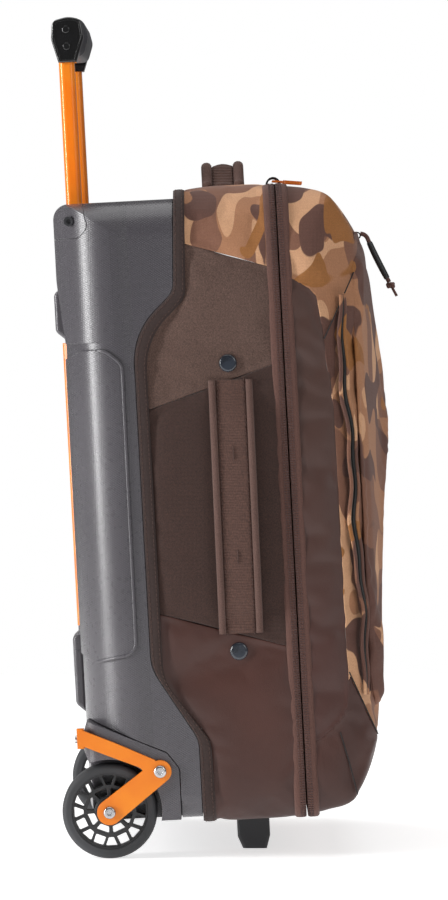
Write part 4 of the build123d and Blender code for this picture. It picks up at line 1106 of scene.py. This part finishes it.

# Dark rods laid over the lid's seams: painted shade of the seam grooves.
SEAM_LINES = {
    "lid_shoulder_seam": [(248.9, 450.5), (219.3, 391.5)],
    "lid_heel_seam": [(215.9, 62.2), (222.5, 34), (227.5, 9)],
    "lid_wedge_seam": [(225.8, 112), (247, 57)],
}
for seam_name, corners in SEAM_LINES.items():
    places, outward = laid(lid_tree, evenly(corners, 3.0), 1.0)
    for side_name, flip in SIDES.items():
        seam = rod(places * flip, 0.55, lift=outward * flip)
        add(f"{seam_name}_{side_name}", seam, "lid", "tape_fabric", finish="painted_shade")


# ---- pocket zipper ----
def shoulder_zip():
    """Tape and teeth across the lid's shoulder."""
    low, high = node_box("pocket_zipper")
    tree = tree_of("pocket_zipper")
    x = np.linspace(low[0] + 1, high[0] - 1, 90)
    seat, outward = [], []
    for a in x:
        hit, normal, _, _ = tree.ray_cast(Vector((a, OUTSIDE, (low[2] + high[2]) / 2)), Vector((0, -1, 0)))
        seat.append(hit)
        outward.append(normal)
    seat, outward = np.array(seat), units(np.array(outward))
    side = units(np.cross(outward, directions(seat)))
    profile = [(-5.4, -0.9), (-5.4, -0.1), (-4.8, 0.35), (-1.1, 0.3), (-0.5, 0.1), (0.5, 0.1), (1.1, 0.3),
               (4.8, 0.35), (5.4, -0.1), (5.4, -0.9)]
    tape = sweep(seat, side, outward, profile)
    teeth = stitches(seat, np.tile(np.array([0.0, 0.9, 0.45]), (len(seat), 1)), 1.1, 1.7, 0.9)
    return tape, teeth


shoulder_tape, shoulder_teeth = shoulder_zip()
add("pocket_zip_tape", shoulder_tape, "lid", "tape_fabric", "pocket_zipper")
# the teeth's near-black is painted shade along the middle of the zipper
add("pocket_zip_teeth", shoulder_teeth, "lid", "tape_fabric", finish="painted_shade")


# ---- handles ------------------------------------------------------------------------------
def arch(length, rise, count=60):
    """Middle line of an arched strap as (along, above) rows."""
    t = np.linspace(-1, 1, count)
    lifted = np.clip((0.93 - np.abs(t)) / 0.24, 0, 1)
    lifted = lifted * lifted * (3 - 2 * lifted)
    return np.column_stack([t * length / 2, lifted * rise])


def strap(places, side, lift, half, edge, thick, hump=0.0):
    """Padded webbing: a ribbed middle between two rolled edges."""
    turn = np.linspace(-0.35 * math.pi, 1.1 * math.pi, 9)
    right = [(half - edge / 2 + edge / 2 * math.cos(a), edge * 0.42 * math.sin(a) + thick / 2) for a in turn]
    left = [(-a, b) for a, b in right[::-1]]
    inner = half - edge
    middle = [(inner * c, thick / 2 - 0.3 + hump * math.cos(c * math.pi / 2)) for c in (0.8, 0.4, 0, -0.4, -0.8)]
    body = [(inner + 1, -thick / 2), (inner, thick / 2 - 0.6), *middle, (-inner, thick / 2 - 0.6),
            (-inner - 1, -thick / 2)]
    flat = sweep(places, side, lift, body)
    rolls = joined([sweep(places, side, lift, right), sweep(places, side, lift, left)])
    rows = [places + side * a + lift * (thick / 2 + 0.05 + (hump * 0.3 if abs(a) < inner * 0.8 else 0))
            for a in (-inner + 1.3, inner - 1.3)]
    return flat, rolls, rows


def handle(node, places, side, lift, sizes, tacks=()):
    """A handle's webbing, rolled edges and stitches, with a bar tack at each height in tacks."""
    flat, rolls, rows = strap(places, side, lift, *sizes)
    add(node + "_webbing", flat, "root", "webbing_fabric", node)
    add(node + "_edges", rolls, "root", "webbing_fabric", finish="piping")
    marks = [stitches(row, lift, 2.6, 3.6, 0.33) for row in rows]
    for height in tacks:
        k = int(np.argmin(np.abs(places[:, 2] - height)))
        tack = places[k] + lift[k] * 2.3 + np.outer(np.linspace(-4.5, 4.5, 4), directions(places)[k])
        marks.append(stitches(tack, np.tile(lift[k], (4, 1)), 2.6, 2.2, 0.6))
    add(node + "_stitches", joined(marks), "root", "webbing_fabric", finish="thread")


SIDE_TILT = 0.008  # forward for each mm up
low, high = node_box("side_handle")
line = arch(high[2] - low[2] - 10, -SOFT_HALF - low[0] - 3.4)
mid_depth, mid_height = (low[1] + high[1]) / 2, (low[2] + high[2]) / 2
run, rise = line.T
places = np.column_stack([-SOFT_HALF - 1.9 - rise, mid_depth + run * SIDE_TILT, mid_height + run])
along = directions(places)
side = units(np.cross(along, np.tile([-1.0, 0, 0], (len(along), 1))))
lift = units(np.cross(side, along))
handle("side_handle", places, side, lift, (18.5, 6.0, 3.0, 0.5), tacks=(300.0, 215.0))

low, high = node_box("top_handle")
line = arch(high[0] - low[0], high[2] - low[2] - 4.2)
places = np.column_stack([line[:, 0], np.full(len(line), (low[1] + high[1]) / 2), low[2] + 2.2 + line[:, 1]])
side = np.tile([0.0, 1.0, 0.0], (len(places), 1))
lift = units(np.cross(side, directions(places)))
lift *= np.sign(lift[:, 2:].mean())
handle("top_handle", places, side, lift, (18.0, 9.0, 3.8, 2.2))


# ---- lining behind the handle's tubes ----
def lining_sheet():
    """Quilted lining panel inside the back of the main compartment."""
    low, high = node_box("back_lining")
    x = np.linspace(low[0] + 3, high[0] - 3, 60)
    v = np.linspace(low[2] + 3, high[2] - 3, 96)
    grid_x, grid_v = np.meshgrid(x, v)
    quilting = np.minimum(np.abs(np.sin(grid_v / 40 * math.pi)), np.abs(np.sin((grid_x + 20) / 60 * math.pi)))
    depth = low[1] + 0.8 + 2.2 * quilting**0.5
    keep = (grid_v > 98) | (np.abs(grid_x) < 134)  # clear of the wheel housings
    points = np.stack([grid_x, depth, grid_v], -1).reshape(-1, 3)
    return picked(points, [list(f)[::-1] for f in grid_faces(len(v), len(x)) if keep.reshape(-1)[f].all()])


lining = add("back_lining_sheet", lining_sheet(), "root", "lining_fabric", "back_lining")
thicken(lining, 0.0014)


# ---- raised bead round the tray's side panels ----
RELIEF_LINE = rounded([(16, 391), (38, 391), (51.5, 379), (50.8, 142), (44, 136), (18, 131)], [14, 12, 8, 10], 2.5)
RELIEF_SHIFT = np.array([1.6, 0])  # from the line of the panel's foot back to its crest
seat, outward = laid(tray_tree, RELIEF_LINE - RELIEF_SHIFT)
for side_name, flip in SIDES.items():
    bead = rod(seat * flip, 1.5, 12, 0.75, lift=outward * flip)
    add(f"tray_bead_{side_name}", bead, "root", "tray_plastic")


# ---- stitched line low on the base wrap ----
base_line = evenly([(107.8, 33.6), (173, 51.1)], 3)
seat = np.column_stack([np.full(len(base_line), -SOFT_HALF - 1.0), base_line])
outward = np.tile([-1.0, 0, 0], (len(seat), 1))
for side_name, flip in SIDES.items():
    row = stitches(seat * flip, outward * flip, 2.4, 3.4, 0.3)
    add(f"base_stitches_{side_name}", row, "root", "coated_fabric", finish="thread")


# ---- simulation, thickness and the CAD parts' finishes ----
simulate(cloths)
padded_out(cloths)

for subpart in frame["record"]["subparts"]:
    node = frame["nodes"][subpart["node"]]
    node.data.materials.clear()
    node.data.materials.append(paints[subpart["material_slot"]])


# ---- floor and light ----------------------------------------------------------------------
FLOOR_R = 1.9
FLOOR_SIDES = 96
floor_mesh = bpy.data.meshes.new("floor")
around = np.linspace(0, 2 * math.pi, FLOOR_SIDES, endpoint=False)
edge = [(FLOOR_R * math.cos(a), FLOOR_R * math.sin(a), 0) for a in around]
floor_mesh.from_pydata(edge, [], [range(FLOOR_SIDES)])
floor = bpy.data.objects.new("floor", floor_mesh)
scene.collection.objects.link(floor)
floor_paint = bpy.data.materials.new("floor")
floor_paint.use_nodes = True
floor_shader = floor_paint.node_tree.nodes["Principled BSDF"].inputs
floor_shader["Base Color"].default_value = (0.86, 0.86, 0.86, 1)
floor_shader["Roughness"].default_value = 0.6
floor_shader["Emission Color"].default_value = (1, 1, 1, 1)
floor_shader["Emission Strength"].default_value = 0.64
floor_mesh.materials.append(floor_paint)


def softbox(name, place, target, size, power):
    """Large soft lamp aimed at a point."""
    lamp = bpy.data.lights.new(name, "AREA")
    lamp.shape = "RECTANGLE"
    lamp.size, lamp.size_y = size
    lamp.energy = power
    holder = bpy.data.objects.new(name, lamp)
    scene.collection.objects.link(holder)
    holder.location = place
    holder.rotation_euler = (Vector(target) - Vector(place)).to_track_quat("-Z", "Y").to_euler()


MIDDLE = (0, 0, 0.33)  # of the bag
softbox("key", (-1.05, 2.37, 0.78), (0, 0, 0.5), (0.42, 1.5), 58)
softbox("fill", (-2.2, -1.8, 1.5), MIDDLE, (1.3, 1.3), 18)
softbox("top", (0.0, 0.1, 2.6), MIDDLE, (2.4, 2.4), 32)
softbox("back", (1.6, 1.6, 1.6), MIDDLE, (1.4, 1.4), 13)

AMBIENT = 0.16  # white light on the bag from all round
BACKDROP = 1.0  # what the camera sees behind it
world = bpy.data.worlds.new("studio")
scene.world = world
world.use_nodes = True
background = world.node_tree.nodes["Background"]
seen = world.node_tree.nodes.new("ShaderNodeLightPath").outputs["Is Camera Ray"]
strength = world.node_tree.nodes.new("ShaderNodeMapRange")
strength.inputs["To Min"].default_value = AMBIENT
strength.inputs["To Max"].default_value = BACKDROP
world.node_tree.links.new(seen, strength.inputs["Value"])
world.node_tree.links.new(strength.outputs[0], background.inputs["Strength"])
background.inputs["Color"].default_value = (1, 1, 1, 1)
scene.view_settings.view_transform = "Standard"
